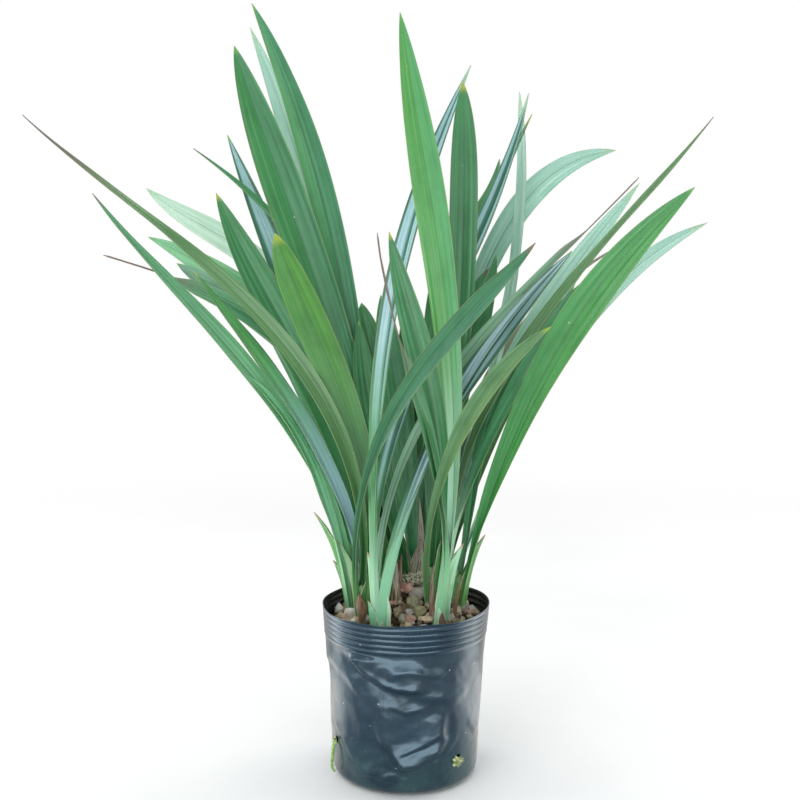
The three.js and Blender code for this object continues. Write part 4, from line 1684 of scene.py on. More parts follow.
    def build_mould_lines(self) -> None:
        """Lays the fine raised lines that run up the front of the film."""
        lines = []
        for number, azimuth in enumerate(self.mould_lines):
            z = np.linspace(14.0, 131.0, 60)
            bpy.ops.object.select_all(action="DESELECT")
            bpy.ops.mesh.primitive_grid_add(x_subdivisions=2, y_subdivisions=len(z) - 1, size=2.0)
            line = bpy.context.active_object
            flat = points_of(line) * MM
            height = mix(z[0], z[-1], (flat[:, 1] + 1.0) / 2.0)
            broken = smooth(-0.2, 0.3, np.sin(height * 0.13 + 2.1 * number))
            half = 0.4
            turn = np.radians(azimuth + np.degrees(flat[:, 0] * half / self.base_radius))
            proud = 0.4 * (1.0 - np.abs(flat[:, 0])) * broken - 0.14
            reach = self.surface(np.full_like(height, azimuth), height) + proud
            move_points(line, np.stack([reach * np.sin(turn), -reach * np.cos(turn), height], axis=1))
            lines.append(line)
        piece = joined(lines, "pot_mould_lines")
        apply_modifier(piece, "SOLIDIFY", thickness=0.3 * MM, offset=-1.0)
        shade(piece)
        piece.data.materials.append(bpy.data.materials[FilmFinish.name])
        seat(piece, Slot.FILM)


# The plant


@dataclass(frozen=True)
class Leaf:
    """One strap leaf of a shoot.

    Attributes:
        foot: Its foot, from the shoot's axis.
        low: The point that it passes at a third of its length.
        high: The point that it passes at two thirds.
        tip: Where it ends.
        width: Its full width.
        face_foot: The azimuth that its upper face looks to at the foot.
        face_tip: The same at the tip.
        tone: Its green.
        end: How its tip has aged.
        form: How it is cut and folded.
        tint: How much warmer its right half is than its left one; this is painted light, the warmer half
            painted as lit and the other as shaded.
        base: The colour of its own foot and the share that takes it, where the shoot's doesn't hold; for
            some leaves this is painted shade or a painted reflection on the lower part.
        clasp: The share of its width that clasps the shoot, where it clasps more than the others.
    """

    foot: Spot
    low: Point
    high: Point
    tip: Point
    width: float
    face_foot: float
    face_tip: float
    tone: Tone
    end: Tip = Tip.GREEN
    form: Form = PLAIN
    tint: float = 0.0
    base: tuple[Foot, float] | None = None
    clasp: float = 0.0

    CLASP_FOLD = 78.0

    def cut(self, foot_share: float) -> Form:
        """The leaf's form with its foot as wide as it clasps.

        Args:
            foot_share: The share of the length that the foot takes.

        Returns:
            The form.
        """
        if self.clasp:
            return replace(self.form, foot_share=self.clasp, fold_foot=self.CLASP_FOLD)
        return replace(self.form, foot_share=foot_share)


@dataclass(frozen=True)
class Sheath:
    """One sheath that hugs the foot of a shoot and leans away at its tip."""

    azimuth: float
    height: float
    lean: float
    width: float
    tone: SheathTone
    beside: Spot = (0.0, 0.0)

    @property
    def withered(self) -> bool:
        """Whether the sheath has dried."""
        return self.tone in (SheathTone.PINK, SheathTone.STRAW, SheathTone.UMBER)

    @property
    def clasp(self) -> float:
        """How much wider than it looks the sheath is, being wrapped round the foot."""
        return 1.95 if self.tone in (SheathTone.MINT, SheathTone.JADE) else 1.5


@dataclass
class SheathBuilder:
    """Shapes sheaths and bracts as short straps that rise from beside an axis."""

    start: float = 4.6
    form: Form = SHEATH
    wrap: float = 1.0
    thickness: float = 0.7

    def build(
        self, sheath: Sheath, at: Spot, foot_z: float, seed: int, skins: BladeSkins, name: str
    ) -> Piece:
        """Builds one sheath.

        Args:
            sheath: What is built.
            at: The axis that it rises beside.
            foot_z: The height of its foot.
            seed: What makes it differ from the others.
            skins: The shared finishes.
            name: The new piece's name.

        Returns:
            The sheath, with its thickness.
        """
        blade = self.blade(sheath, at, foot_z, seed)
        piece = blade.build(name)
        tip = "#9c8262" if sheath.withered else "#b59f78"
        BladeColours(sheath.tone.value, "#4f8f5a", 0.35, "#d2dcc0", 0.12, tip, 0.05).lay(piece, blade)
        coats = skins.sheath
        if sheath.withered:
            coats = [DryFinish(f"{name}_paper", sheath.tone.value).material()]
        skins.dress(piece, coats, self.thickness)
        return piece

    def blade(self, sheath: Sheath, at: Spot, foot_z: float, seed: int) -> Blade:
        """The strap of one sheath: how it rises, close to the axis first and away from it later.

        Args:
            sheath: What is built.
            at: Where it stands.
            foot_z: The height of its foot.
            seed: Where its random draws start.

        Returns:
            The strap.
        """
        out = heading(sheath.azimuth)
        places = []
        for share, lean in ((0.0, 0.0), (1 / 3, 0.12), (2 / 3, 0.42), (1.0, 1.0)):
            reach = self.start + lean * sheath.lean + (1.5 if 0 < share < 1 else 0.0)
            x = at[0] + sheath.beside[0] + out.x * reach
            y = at[1] + sheath.beside[1] + out.y * reach
            places.append((x, y, foot_z + share * sheath.height))
        face = sheath.azimuth + 180
        width = sheath.width * sheath.clasp * self.wrap
        form = FAN if sheath.tone == SheathTone.MINT else self.form
        return Blade(*places, width, face, face, form, self.thickness, 36, 18, 0.5, seed)


@dataclass
class Shoot:
    """A leafy shoot: a swollen foot, the sheaths that clasp it and the leaves that rise from it."""

    node: str
    at: Spot
    foot: Foot
    leaves: list[Leaf]
    sheaths: list[Sheath]
    seed: int = 0
    foot_reach: float = 0.2
    foot_share: float = 0.46

    def build(self, soil: Soil, skins: BladeSkins) -> None:
        """Builds the shoot on the soil.

        Args:
            soil: The soil it stands in.
            skins: The finishes of the straps.
        """
        ground = float(soil.height_at(*self.at))
        self.build_leaves(ground, skins)
        self.build_sheaths(ground, skins)
        self.build_bulb(ground)

    def build_leaves(self, ground: float, skins: BladeSkins) -> None:
        """Lays every leaf and joins them in one piece.

        Args:
            ground: The height of the soil there.
            skins: The finishes of the straps.
        """
        pieces = []
        for number, leaf in enumerate(self.leaves):
            foot = (self.at[0] + leaf.foot[0], self.at[1] + leaf.foot[1], ground - 4.0)
            blade = Blade(
                foot,
                leaf.low,
                leaf.high,
                leaf.tip,
                leaf.width,
                leaf.face_foot,
                leaf.face_tip,
                leaf.cut(self.foot_share),
                seed=self.seed * 10 + number,
            )
            piece = blade.build(f"{self.node}_leaf_{number}")
            foot_tone, reach = leaf.base or (self.foot, self.foot_reach)
            colours = BladeColours(*leaf.tone.value, foot_tone.value, reach, *leaf.end.value, leaf.tint)
            colours.lay(piece, blade)
            skins.dress(piece, skins.leaf, blade.thickness)
            pieces.append(piece)
        clump = joined(pieces, f"{self.node}_leaves")
        shade(clump, 60.0)
        seat(clump, Slot.LEAF, self.node)

    def build_sheaths(self, ground: float, skins: BladeSkins) -> None:
        """Wraps the sheaths round the foot, green ones and dry ones as pieces of their own.

        Args:
            ground: The height of the soil there.
            skins: The finishes of the straps.
        """
        builder = SheathBuilder()
        green, dry = [], []
        for number, sheath in enumerate(self.sheaths):
            seed = self.seed * 10 + number + 5
            piece = builder.build(sheath, self.at, ground - 4.0, seed, skins, f"{self.node}_sheath_{number}")
            (dry if sheath.withered else green).append(piece)
        for name, pieces in (("green_sheaths", green), ("dry_sheaths", dry)):
            if pieces:
                clump = joined(pieces, f"{self.node}_{name}")
                shade(clump, 60.0)
                seat(clump, Slot.LEAF if pieces is green else Slot.DRY)

    def build_bulb(self, ground: float) -> None:
        """Turns the swollen foot and sets it in the soil.

        Args:
            ground: The height of the soil there.
        """
        bulb = turned(f"{self.node}_bulb", Bulb().rows(), 32)
        move_points(bulb, points_of(bulb) + np.array([*self.at, ground]))
        shade(bulb)
        bulb.data.materials.append(Bulb.skin(f"{self.node}_bulb_skin", self.foot.value))
        seat(bulb, Slot.LEAF)


@dataclass(frozen=True)
class Bulb:
    """The swollen foot of a shoot, under its sheaths."""

    plug_radius: float = 10.0
    neck_radius: float = 4.7
    rise: float = 34.0

    def rows(self) -> list[Spot]:
        """Radius and height of its rings, from below the soil up.

        Returns:
            A radius and a height for each row.
        """
        waist = self.neck_radius
        return [
            (self.plug_radius * 0.8, -12.0),
            (self.plug_radius, -8.0),
            (self.plug_radius - 1.0, -5.0),
            (waist + 1.4, -1.0),
            (waist + 1.0, 3.0),
            (waist + 0.8, 6.0),
            (waist + 0.4, 11.0),
            (waist, self.rise * 0.55),
            (waist - 1.4, self.rise * 0.78),
            (3.4, self.rise),
            (1.2, self.rise + 1.6),
        ]

    @staticmethod
    def skin(name: str, green: str) -> Material:
        """Green tissue streaked straw-coloured and stained in patches.

        Args:
            name: Its name.
            green: The colour of the foot.

        Returns:
            The material.
        """
        bench = Bench(name)
        place = bench.objects()
        streaks = bench.noise(bench.stretched(place, (520.0, 520.0, 30.0)), 1.0, 4.0)
        stains = bench.noise(place, 160.0, 4.0)
        colour = bench.mix(bench.ramp(streaks, 0.35, 0.7, 0.0, 0.5), paint(green), paint("#d5dcbc"))
        colour = bench.mix(bench.ramp(stains, 0.52, 0.72, 0.0, 0.7), colour, paint("#8a7455"))
        bench.set(base_color=colour, roughness=0.5, normal=bench.bump(streaks, 0.6, 0.4))
        return bench.material


@dataclass
class OldStem:
    """A leafless stem wrapped in dry, fibrous sheaths."""

    at: Spot = (-11.0, 12.0)
    rise: float = 40.0
    fibres: int = 34
    sheaths: tuple[Sheath, ...] = (
        Sheath(-95, 58, 2, 11, SheathTone.UMBER),
        Sheath(20, 46, 3, 12, SheathTone.STRAW),
        Sheath(100, 52, 3, 11, SheathTone.UMBER),
    )

    def build(self, soil: Soil, skins: BladeSkins) -> None:
        """Builds the core, its sheaths and the fibres that stand off them.

        Args:
            soil: The soil it stands in.
            skins: The finishes of the straps.
        """
        ground = float(soil.height_at(*self.at))
        core = turned("old_stem_core", Bulb(rise=self.rise).rows(), 28)
        move_points(core, points_of(core) + np.array([*self.at, ground]))
        shade(core)
        core.data.materials.append(FibreFinish("old_stem_skin").material())
        seat(core, Slot.DRY)
        builder = SheathBuilder(form=Form(0.8, 0.4, 0.35, 1.4, 60.0, 50.0, 0.9), wrap=0.8)
        pieces = []
        for number, sheath in enumerate(self.sheaths):
            name = f"old_stem_sheath_{number}"
            pieces.append(builder.build(sheath, self.at, ground - 4.0, 60 + number, skins, name))
        clump = joined(pieces, "old_stem_sheaths")
        shade(clump, 60.0)
        seat(clump, Slot.DRY, "old_stem")
        self.build_fibres(ground)

    def build_fibres(self, ground: float) -> None:
        """Lays loose fibres along the stem.

        Args:
            ground: The height of the soil there.
        """
        draws = Draws(33)
        strands = []
        for number in range(self.fibres):
            out = heading(draws.between(-180, 180))
            foot = draws.between(4.5, 6.6)
            height = draws.between(20, 60)
            route = []
            for share in (0.0, 0.35, 0.7, 1.0):
                reach = foot + share * draws.between(-2.4, 2.2)
                sway = draws.between(-1.4, 1.4)
                x = self.at[0] + out.x * reach - out.y * sway
                y = self.at[1] + out.y * reach + out.x * sway
                route.append((x, y, ground + share * height))
            strands.append(tube(f"fibre_{number}", route, 0.36, 0.3))
        piece = joined(strands, "old_stem_fibres")
        shade(piece)
        piece.data.materials.append(FibreFinish("loose_fibres").material())
        seat(piece, Slot.DRY)


@dataclass(frozen=True)
class FibreFinish:
    """Straw-coloured and brown fibres, told apart by place alone."""

    name: str
    light: str = "#b3a27f"
    dark: str = "#54422f"

    def material(self) -> Material:
        """Builds the material.

        Returns:
            The material.
        """
        bench = Bench(self.name)
        strands = bench.noise(bench.stretched(bench.objects(), (700.0, 700.0, 40.0)), 1.0, 4.0)
        colour = bench.mix(bench.ramp(strands, 0.38, 0.62), paint(self.dark), paint(self.light))
        bench.set(base_color=colour, roughness=0.85, normal=bench.bump(strands, 0.8, 0.6))
        return bench.material


@dataclass
class FibreTangle:
    """Curly pale fibres and brown rootlets that lie round the foot of a shoot."""

    name: str
    at: Spot
    reach: Spot
    rise: Spot
    count: int
    radius: float
    light: str
    dark: str
    seed: int

    def build(self, soil: Soil) -> None:
        """Builds the tangle on the soil.

        Args:
            soil: The soil it stands in.
        """
        draws = Draws(self.seed)
        ground = float(soil.height_at(*self.at))
        strands = []
        for number in range(self.count):
            azimuth = draws.between(-180, 180)
            reach = draws.between(*self.reach)
            height = ground + draws.between(*self.rise)
            turn = draws.between(25, 70) * draws.choice((-1, 1))
            route = []
            for step in range(5):
                out = heading(azimuth + turn * step / 4)
                away = reach + draws.between(-1.6, 1.6)
                lift = draws.between(-2.2, 2.2)
                route.append((self.at[0] + out.x * away, self.at[1] + out.y * away, height + lift))
            strands.append(tube(f"{self.name}_{number}", route, self.radius * draws.between(0.6, 1.2), 0.4))
        piece = joined(strands, self.name)
        shade(piece)
        piece.data.materials.append(FibreFinish(f"{self.name}_finish", self.light, self.dark).material())
        seat(piece, Slot.DRY)


@dataclass
class DryBract:
    """A papery bract that stands by itself among the stones."""

    node: str
    at: Spot
    sheath: Sheath

    def build(self, soil: Soil, skins: BladeSkins) -> None:
        """Builds the bract on the soil.

        Args:
            soil: The soil it stands in.
            skins: The finishes of the straps.
        """
        ground = float(soil.height_at(*self.at))
        builder = SheathBuilder(start=0.0, form=BRACT, wrap=0.67, thickness=0.6)
        seed = int(self.sheath.height)
        piece = builder.build(self.sheath, self.at, ground - 3.0, seed, skins, f"{self.node}_paper")
        shade(piece, 60.0)
        seat(piece, Slot.DRY, self.node)


@dataclass
class MossTuft:
    """Moss that pushes out of a drain hole, with a root below it on one side."""

    node: str
    azimuth: float
    z: float
    radius: float
    blades: int
    root_length: float
    root_radius: float
    seed: int

    def build(self, pot: NurseryPot) -> None:
        """Builds the cushion of moss, its blades and its root.

        Args:
            pot: The pot.
        """
        reach = float(pot.surface(np.array([self.azimuth]), np.array([self.z]))[0])
        out = heading(self.azimuth)
        middle = out * (reach + 0.8) + Vector((0.0, 0.0, self.z))
        draws = Draws(self.seed)
        parts = [self.lump(draws, out, middle) for _ in range(16)]
        parts += [self.leaflet(draws, out, middle) for _ in range(self.blades)]
        piece = joined(parts, f"{self.node}_moss")
        shade(piece, 40.0)
        piece.data.materials.append(MossFinish(f"{self.node}_moss_finish", "#dfe3b8", "#8d9a58").material())
        seat(piece, Slot.MOSS, self.node)
        if self.root_length:
            self.build_root(out, reach)

    def lump(self, draws: Draws, out: Vector, middle: Vector) -> Piece:
        """One small round lump of the cushion.

        Args:
            draws: The random draws.
            out: The direction away from the pot.
            middle: The middle of the cushion.

        Returns:
            The lump.
        """
        level = Vector((-out.y, out.x, 0.0))
        shift = level * draws.between(-0.8, 0.8) + Vector((0, 0, draws.between(-1, 0.7)))
        shift += out * draws.between(-0.2, 0.35)
        radius = self.radius * draws.between(0.18, 0.36) * MM
        bpy.ops.object.select_all(action="DESELECT")
        bpy.ops.mesh.primitive_ico_sphere_add(subdivisions=2, radius=radius)
        piece = bpy.context.active_object
        piece.data.transform(Matrix.Translation((middle + shift * self.radius * 0.8) * MM))
        return piece

    def leaflet(self, draws: Draws, out: Vector, middle: Vector) -> Piece:
        """One pointed leaflet that stands off the cushion.

        Args:
            draws: The random draws.
            out: The direction away from the pot.
            middle: The middle of the cushion.

        Returns:
            The leaflet.
        """
        level = Vector((-out.y, out.x, 0.0))
        aim = out * draws.between(0.15, 0.8) + level * draws.between(-1, 1)
        aim += Vector((0, 0, draws.between(-1.4, 0.8)))
        length = self.radius * draws.between(0.9, 1.5)
        bpy.ops.object.select_all(action="DESELECT")
        bpy.ops.mesh.primitive_cone_add(vertices=5, radius1=0.55 * MM, radius2=0.05 * MM, depth=length * MM)
        piece = bpy.context.active_object
        turn = aim.normalized().to_track_quat("Z", "Y").to_matrix().to_4x4()
        piece.data.transform(Matrix.Translation((middle + aim.normalized() * length / 2) * MM) @ turn)
        return piece

    def build_root(self, out: Vector, reach: float) -> None:
        """Lets a root hang from the hole down the film.

        Args:
            out: The direction away from the pot.
            reach: How far out the film is.
        """
        steps = ((0.5, 0.05), (3.6, 0.18), (4.4, 0.45), (5.4, 0.75), (4.0, 0.98), (2.4, 1.02))
        route = []
        for off, share in steps:
            drop = Vector((0, 0, self.z - share * self.root_length))
            route.append(tuple(out * (reach + off) + drop))
        root = tube(f"{self.node}_root", route, self.root_radius, 0.7)
        shade(root)
        skin = MossFinish(f"{self.node}_root_finish", "#a5cf72", "#76a34c", 0.5)
        root.data.materials.append(skin.material())
        seat(root, Slot.MOSS)


@dataclass
class Orchid:
    """The whole clump of shoots, with the dry parts between them."""

    shoots: list[Shoot]
    old_stem: OldStem
    bracts: list[DryBract]
    tangles: list[FibreTangle]

    def build(self, soil: Soil) -> None:
        """Builds every shoot, the old stem, the bracts and the loose fibres.

        Args:
            soil: The soil it stands in.
        """
        skins = BladeSkins()
        for number, shoot in enumerate(self.shoots):
            shoot.seed = number + 1
            shoot.build(soil, skins)
        self.old_stem.build(soil, skins)
        for bract in self.bracts:
            bract.build(soil, skins)
        for tangle in self.tangles:
            tangle.build(soil)


# The shoots on the left of the clump, outer ones first
LEFT_SHOOTS = [
    Shoot(
        "shoot_left_outer", (-53, 22), Foot.FERN,
        [
            Leaf((6, -8), (-76, -42, 374), (-205, -42, 519), (-345, -40, 635), 29, 0, 80, Tone.OLIVE,
                 Tip.WITHERED, WHIP, base=(Foot.DARK, 0.2)),
            # Its lower three quarters carry a painted reflection of the sky (Foot.BLUE).
            Leaf((4, -6), (-67, -14, 285), (-129, -30, 400), (-190, -60, 495), 30, 60, 75, Tone.FRESH,
                 Tip.YELLOW, RIMMED, base=(Foot.BLUE, 0.75)),
            Leaf((-2, -2), (-98, -10, 322), (-186, -55, 453), (-270, -105, 565), 31, 55, 78, Tone.MID,
                 Tip.BROWN, SLENDER, base=(Foot.FERN, 0.95)),
            Leaf((-4, -4), (-75, -12, 264), (-106, -28, 345), (-152, -40, 403), 25, 62, 75, Tone.JADE,
                 Tip.BROWN, SLENDER, base=(Foot.FERN, 0.6)),
        ],
        [
            Sheath(-92, 104, 32, 15, SheathTone.GREEN),
            Sheath(-60, 82, 20, 13, SheathTone.PALE, (9, -13)),
            Sheath(-110, 54, 15, 15, SheathTone.GREEN),
        ],
        foot_reach=0.12,
    ),
    Shoot(
        "shoot_left_inner", (-42, -6), Foot.GREEN,
        [
            Leaf((-2, 2), (-60, 25, 305), (-120, 40, 440), (-185, 60, 565), 36, 30, 5, Tone.DEEP,
                 Tip.YELLOW),
            Leaf((0, 0), (-38, -15, 295), (-74, -45, 420), (-115, -85, 530), 32, 10, -10, Tone.LIME,
                 Tip.RIPE, BLUNT, 0.4, base=(Foot.SHADE, 0.8)),
            Leaf((0, -2), (-30, -70, 320), (30, -130, 435), (105, -180, 525), 22, -58, -22, Tone.DUSK,
                 Tip.BROWN, ARCHED, -0.3),
        ],
        [
            Sheath(-90, 66, 1, 8, SheathTone.PINK),
            Sheath(70, 60, 7, 14, SheathTone.GREEN),
        ],
        foot_reach=0.12,
    ),
    Shoot(
        "shoot_front_left", (-24, -44), Foot.MINT,
        [
            Leaf((1, 5), (-25, -40, 340), (0, 30, 510), (65, 90, 690), 28, -60, -20, Tone.BLUE,
                 Tip.PALE, GROOVED),
            Leaf((3, 8), (-10, 0, 330), (60, 80, 490), (125, 120, 665), 28, -40, -35, Tone.BLUE,
                 Tip.PALE, CREASED),
            Leaf((4, 3), (5, -25, 325), (105, 20, 460), (225, 40, 580), 22, -50, -70, Tone.SAGE,
                 Tip.FRAYED, TAILED),
            Leaf((3, -2.5), (11, -28, 285), (75, 10, 405), (160, 25, 510), 28, -84, -25, Tone.SHEEN,
                 Tip.GREEN, SHEENED, base=(Foot.JADE, 0.42), clasp=0.8),
        ],
        [
            Sheath(-90, 86, 6, 19, SheathTone.MINT, (-0.8, 1.5)),
            Sheath(-86, 40, 5, 10.5, SheathTone.JADE, (-1.4, -1.5)),
        ],
        foot_reach=0.22,
    ),
    Shoot(
        "shoot_left_back", (-46, 42), Foot.DARK,
        [
            Leaf((0, 1), (-50, 60, 312), (-134, 95, 438), (-265, 130, 520), 34, 30, 15, Tone.JADE),
            Leaf((-2, 0), (-52, 52, 330), (-137, 68, 436), (-230, 90, 495), 30, 30, 15, Tone.TEAL),
            Leaf((-2, -2), (-56, 45, 335), (-150, 47, 444), (-295, 50, 505), 25, 30, 30, Tone.MID,
                 Tip.FRAYED, TAILED),
            Leaf((1, 3), (-85, 120, 405), (-180, 170, 510), (-280, 210, 570), 28, 20, 10, Tone.FROST,
                 Tip.PALE),
            Leaf((-1, 3), (-85, 115, 310), (-125, 180, 395), (-160, 240, 445), 28, 20, 10, Tone.MID),
        ],
        [
            Sheath(-120, 74, 16, 16, SheathTone.GREEN),
            Sheath(-175, 56, 12, 16, SheathTone.GREEN),
        ],
        foot_reach=0.1,
    ),
    Shoot(
        "shoot_back_left", (-22, 54), Foot.DARK,
        [
            Leaf((-2, -2), (-50, 65, 350), (-109, 80, 535), (-170, 105, 710), 42, 30, 5, Tone.DEEP,
                 Tip.GREEN, BROAD, -0.5),
            Leaf((0, 0), (-45, 75, 360), (-85, 100, 565), (-155, 135, 755), 31, 10, 30, Tone.MID,
                 tint=-0.4),
            Leaf((1, 2), (-50, 100, 350), (-95, 150, 545), (-165, 210, 740), 30, 10, 20, Tone.PALE,
                 Tip.PALE),
            Leaf((-3, 1), (-60, 80, 315), (-120, 120, 470), (-185, 160, 625), 33, 10, 20, Tone.BLUE,
                 Tip.GREEN, BANDED),
            Leaf((1, 3), (-40, 115, 310), (-60, 180, 420), (-75, 240, 490), 28, 0, 0, Tone.MID),
        ],
        [
            Sheath(-15, 88, 12, 17, SheathTone.GREEN),
            Sheath(170, 66, 15, 16, SheathTone.GREEN),
        ],
        foot_reach=0.1,
    ),
]


# The shoots in the middle and on the right of the clump
RIGHT_SHOOTS = [
    Shoot(
        "shoot_centre_back", (7, 44), Foot.DARK,
        [
            Leaf((-2, 2), (-10, 90, 340), (-90, 115, 490), (-215, 120, 610), 22, 60, 60, Tone.MID,
                 Tip.DARK, SLENDER),
            Leaf((2, 0), (20, 70, 330), (65, 105, 490), (130, 135, 645), 24, -40, -55, Tone.SAGE,
                 Tip.RIPE, GROOVED),
            Leaf((0, 2), (55, 110, 410), (125, 155, 555), (225, 190, 610), 28, 0, -20, Tone.PALE,
                 Tip.PALE),
            Leaf((2, -2), (20, 55, 280), (40, 75, 390), (85, 95, 490), 28, 0, -30, Tone.MID, Tip.BROWN),
            Leaf((1, 3), (20, 120, 330), (50, 190, 470), (65, 250, 570), 30, 0, 0, Tone.MID),
            Leaf((-1, 3), (35, 110, 425), (75, 135, 535), (98, 150, 600), 24, -30, -50, Tone.DEEP),
            Leaf((-1, -3), (2, 40, 270), (-10, 48, 370), (-24, 62, 465), 34, 20, 0, Tone.MID),
            Leaf((-4, -2), (-16, 38, 265), (-34, 46, 352), (-46, 60, 440), 28, 10, 0, Tone.DEEP),
            Leaf((3, 3), (16, 62, 270), (10, 78, 370), (2, 90, 455), 34, 0, 0, Tone.DEEP),
            Leaf((-18, 5), (-22, 64, 270), (-32, 78, 370), (-44, 92, 455), 44, 80, 0, Tone.DEEP),
        ],
        [
            Sheath(-82, 60, 5, 15, SheathTone.STRAW, (-1, -3)),
            Sheath(82, 94, -5, 12, SheathTone.STRAW, (7, -4)),
            Sheath(60, 58, 8, 14, SheathTone.STRAW, (1, -4)),
        ],
        foot_reach=0.1,
    ),
    Shoot(
        "shoot_centre", (25, 9), Foot.DARK,
        [
            Leaf((1, 2), (45, 20, 335), (55, 30, 505), (55, 40, 670), 28, 0, 0, Tone.DEEP, Tip.YELLOW,
                 BLUNT),
            Leaf((0, -2), (30, -50, 285), (65, -110, 385), (120, -165, 455), 19, -56, -24, Tone.OLIVE,
                 Tip.RIPE, ARCHED, 0.4),
            Leaf((4, 4), (30, 20, 270), (30, 30, 385), (28, 48, 490), 30, -20, 0, Tone.DEEP),
        ],
        [
            Sheath(-80, 56, 3, 11, SheathTone.GREEN),
            Sheath(95, 66, 5, 11, SheathTone.GREEN),
        ],
        foot_reach=0.1,
    ),
    Shoot(
        "shoot_front_right", (34, -24), Foot.MINT,
        [
            Leaf((1, 3), (45, -30, 360), (25, -15, 550), (-5, 5, 730), 33, -40, -5, Tone.FRESH,
                 Tip.GREEN, PLAIN, -0.9, base=(Foot.MINT, 0.5)),
            Leaf((-5, 3), (30, -40, 295), (0, -55, 415), (-25, -70, 530), 18, 50, 30, Tone.MID,
                 Tip.THREAD, THREADED),
            Leaf((-8.5, -1), (35, -35, 290), (15, -40, 410), (-15, -35, 530), 28, 84, 0, Tone.DEEP,
                 Tip.YELLOW, base=(Foot.FERN, 0.34), clasp=0.68),
            Leaf((5, -2.5), (58, -12, 275), (105, -5, 380), (160, 0, 480), 22, -84, -55, Tone.MID,
                 base=(Foot.MINT, 0.4), clasp=0.9),
        ],
        [
            Sheath(88, 86, 15, 15, SheathTone.MINT, (1.5, -1)),
            Sheath(-93, 62, -3, 7, SheathTone.PINK, (-4.5, 6)),
            Sheath(-8, 20, 3, 7, SheathTone.PINK, (2, -3)),
        ],
        foot_reach=0.3,
    ),
    Shoot(
        "shoot_right", (54, 16), Foot.GREEN,
        [
            Leaf((0, 2), (75, 20, 345), (175, 15, 500), (285, -5, 635), 22, -60, -75, Tone.OLIVE,
                 Tip.BROWN, SLENDER),
            Leaf((2, -2), (92, -25, 312), (156, -65, 455), (250, -100, 570), 34, -50, -10, Tone.GRASS,
                 tint=0.4, clasp=0.3),
            Leaf((-4, 2), (64, 20, 255), (84, 25, 350), (135, 25, 420), 17, -50, -40, Tone.MID),
        ],
        [
            Sheath(88, 80, 20, 15, SheathTone.GREEN),
            Sheath(-60, 50, 8, 14, SheathTone.GREEN),
        ],
        foot_reach=0.14,
    ),
    Shoot(
        "shoot_back_right", (36, 50), Foot.DARK,
        [
            Leaf((0, 2), (74, 90, 315), (112, 120, 480), (118, 150, 668), 20, -50, -62, Tone.PALE,
                 Tip.PALE, BLUNT),
            Leaf((1, 0), (72, 75, 312), (142, 100, 445), (240, 125, 575), 28, -40, -35, Tone.PALE,
                 Tip.PALE),
            Leaf((8, 1), (105, 65, 308), (184, 90, 440), (310, 120, 535), 26, -50, -40, Tone.PALE,
                 Tip.PALE, clasp=0.3),
            Leaf((1, 2), (56, 90, 285), (112, 130, 410), (240, 175, 515), 22, -50, -60, Tone.SAGE,
                 Tip.DRY, CLOSED),
            Leaf((2, -2), (71, 55, 280), (120, 60, 395), (195, 70, 490), 22, -40, -20, Tone.OLIVE,
                 Tip.YELLOW, clasp=0.3),
            Leaf((2, 3), (78, 105, 320), (160, 170, 405), (240, 230, 460), 24, -20, -20, Tone.MID),
            Leaf((0, 3), (55, 120, 330), (70, 190, 420), (85, 250, 445), 26, 0, 0, Tone.MID),
            Leaf((-11, -3), (36, 62, 290), (66, 74, 400), (92, 92, 505), 24, -30, -20, Tone.DEEP),
        ],
        [
            Sheath(100, 82, 15, 17, SheathTone.GREEN),
            Sheath(-150, 60, 12, 16, SheathTone.GREEN),
        ],
        foot_reach=0.1,
    ),
]


def plant() -> Orchid:
    """Lists the clump as it stands in the pot.

    Returns:
        The plant.
    """
    bracts = [
        DryBract("dry_bract_left", (-43, -24), Sheath(-20, 36, 3, 17, SheathTone.UMBER)),
        DryBract("dry_bract_right", (48, -7), Sheath(70, 48, 8, 8, SheathTone.UMBER)),
        DryBract("dry_bract_middle", (-2, -10), Sheath(10, 18, 6, 9, SheathTone.UMBER)),
        DryBract("dry_bract_back", (12, 66), Sheath(170, 34, 8, 12, SheathTone.STRAW)),
    ]
    tangles = [
        FibreTangle("curly_fibres", (8, 36), (2, 16), (1, 16), 46, 0.6, "#f4f0dd", "#cbc3a6", 9),
        FibreTangle("rootlets", (40, -14), (9, 15), (0, 6), 22, 0.5, "#8d7a62", "#4b3a2c", 14),
    ]
    return Orchid(LEFT_SHOOTS + RIGHT_SHOOTS, OldStem(), bracts, tangles)


# The studio


@dataclass(frozen=True)
class Softbox:
    """One soft light: its place, what it looks at, its size, power and colour."""

    name: str
    place: Point
    aim: Point
    size: Spot
    power: float
    colour: Point

    def build(self) -> None:
        """Hangs the light in the studio."""
        data = bpy.data.lights.new(self.name, "AREA")
        data.shape = "RECTANGLE"
        data.size, data.size_y = self.size
        data.energy = self.power
        data.color = self.colour
        light = bpy.data.objects.new(self.name, data)
        light.location = self.place
        light.rotation_euler = (Vector(self.aim) - Vector(self.place)).to_track_quat("-Z", "Y").to_euler()
        light.visible_camera = False
        bpy.context.collection.objects.link(light)


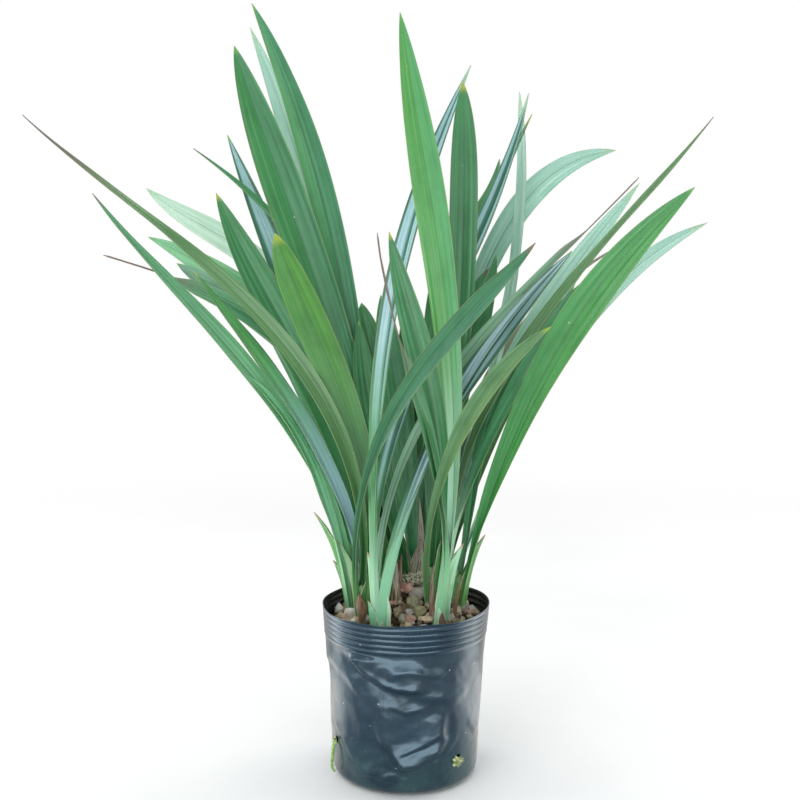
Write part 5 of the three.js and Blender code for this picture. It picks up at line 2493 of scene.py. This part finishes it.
@dataclass
class Studio:
    """A pale floor, soft lights, a white surrounding and the camera, in metres."""

    camera_place: Point = (-0.005, -1.325, 0.566)
    camera_pitch: float = 81.55
    lens: float = 63.0
    floor_radius: float = 14.0
    lights: tuple[Softbox, ...] = (
        Softbox("key_softbox", (-0.9, -1.6, 1.9), (0.0, 0.0, 0.35), (1.3, 1.3), 14.0, (1.0, 0.99, 0.96)),
        Softbox("front_softbox", (0.0, -1.75, 0.46), (0.0, 0.0, 0.4), (3.4, 0.84), 20.0, (0.86, 0.95, 1.0)),
        Softbox("left_softbox", (-1.35, 0.75, 0.6), (0.0, 0.0, 0.3), (1.0, 1.5), 9.0, (1.0, 1.0, 0.98)),
        Softbox("right_softbox", (1.35, 0.75, 0.6), (0.0, 0.0, 0.3), (1.0, 1.5), 9.0, (1.0, 1.0, 0.98)),
        Softbox(
            "left_front_softbox", (-1.9, -0.75, 0.42), (0.0, 0.0, 0.12), (1.6, 0.76), 4.0, (0.86, 0.95, 1.0)
        ),
        Softbox("top_softbox", (0.1, 0.1, 2.1), (0.0, 0.0, 0.3), (1.2, 1.2), 12.0, (0.96, 0.99, 1.0)),
    )

    def build(self) -> None:
        """Sets up the floor, the lights, the surrounding and the camera."""
        self.build_floor()
        for light in self.lights:
            light.build()
        self.build_surrounding()
        self.build_camera()

    def build_floor(self) -> None:
        """Lays a large round floor just under the pot."""
        bpy.ops.object.select_all(action="DESELECT")
        bpy.ops.mesh.primitive_circle_add(
            vertices=96, radius=self.floor_radius, fill_type="NGON", location=(0, 0, -0.0004)
        )
        floor = bpy.context.active_object
        floor.name = "studio_floor"
        bpy.ops.object.transform_apply(location=True)
        floor.data.materials.append(FloorFinish().material())

    def build_surrounding(self) -> None:
        """Surrounds the part with white that is dimmer from the front."""
        world = bpy.data.worlds.new("studio_white")
        world.use_nodes = True
        tree = world.node_tree
        nodes = tree.nodes
        background = nodes["Background"]
        direction = nodes.new("ShaderNodeTexCoord")
        split = nodes.new("ShaderNodeSeparateXYZ")
        tree.links.new(direction.outputs["Generated"], split.inputs[0])
        level = nodes.new("ShaderNodeMapRange")
        level.interpolation_type = "SMOOTHSTEP"
        tree.links.new(split.outputs[1], level.inputs[0])
        for socket, value in zip(level.inputs[1:5], (-0.6, 0.4, 0.22, 0.9)):
            socket.default_value = value
        seen = nodes.new("ShaderNodeLightPath")
        choose = nodes.new("ShaderNodeMix")
        tree.links.new(seen.outputs["Is Camera Ray"], choose.inputs[0])
        tree.links.new(level.outputs[0], choose.inputs[2])
        choose.inputs[3].default_value = 1.0
        tree.links.new(choose.outputs[0], background.inputs["Strength"])
        background.inputs["Color"].default_value = (1.0, 1.0, 1.0, 1.0)
        bpy.context.scene.world = world

    def build_camera(self) -> None:
        """Puts the camera where the photograph was taken from."""
        data = bpy.data.cameras.new("camera")
        data.sensor_width = 36.0
        data.lens = self.lens
        camera = bpy.data.objects.new("camera", data)
        camera.location = self.camera_place
        camera.rotation_euler = (math.radians(self.camera_pitch), 0.0, 0.0)
        bpy.context.collection.objects.link(camera)
        bpy.context.scene.camera = camera
        bpy.context.scene.view_settings.view_transform = "Standard"


def main() -> None:
    """Builds the pot, the soil, the plant and the studio in order."""
    logging.basicConfig(level=logging.INFO, format="%(message)s")
    pot = NurseryPot()
    soil = Soil()
    pot.build()
    soil.build()
    plant().build(soil)
    MossTuft("moss_and_root_left", -65.0, 41.0, 4.0, 34, 31.0, 1.7, 5).build(pot)
    MossTuft("moss_tuft_right", 42.0, 30.0, 5.4, 60, 0.0, 0.0, 6).build(pot)
    Studio().build()


if __name__ == "__main__":
    main()
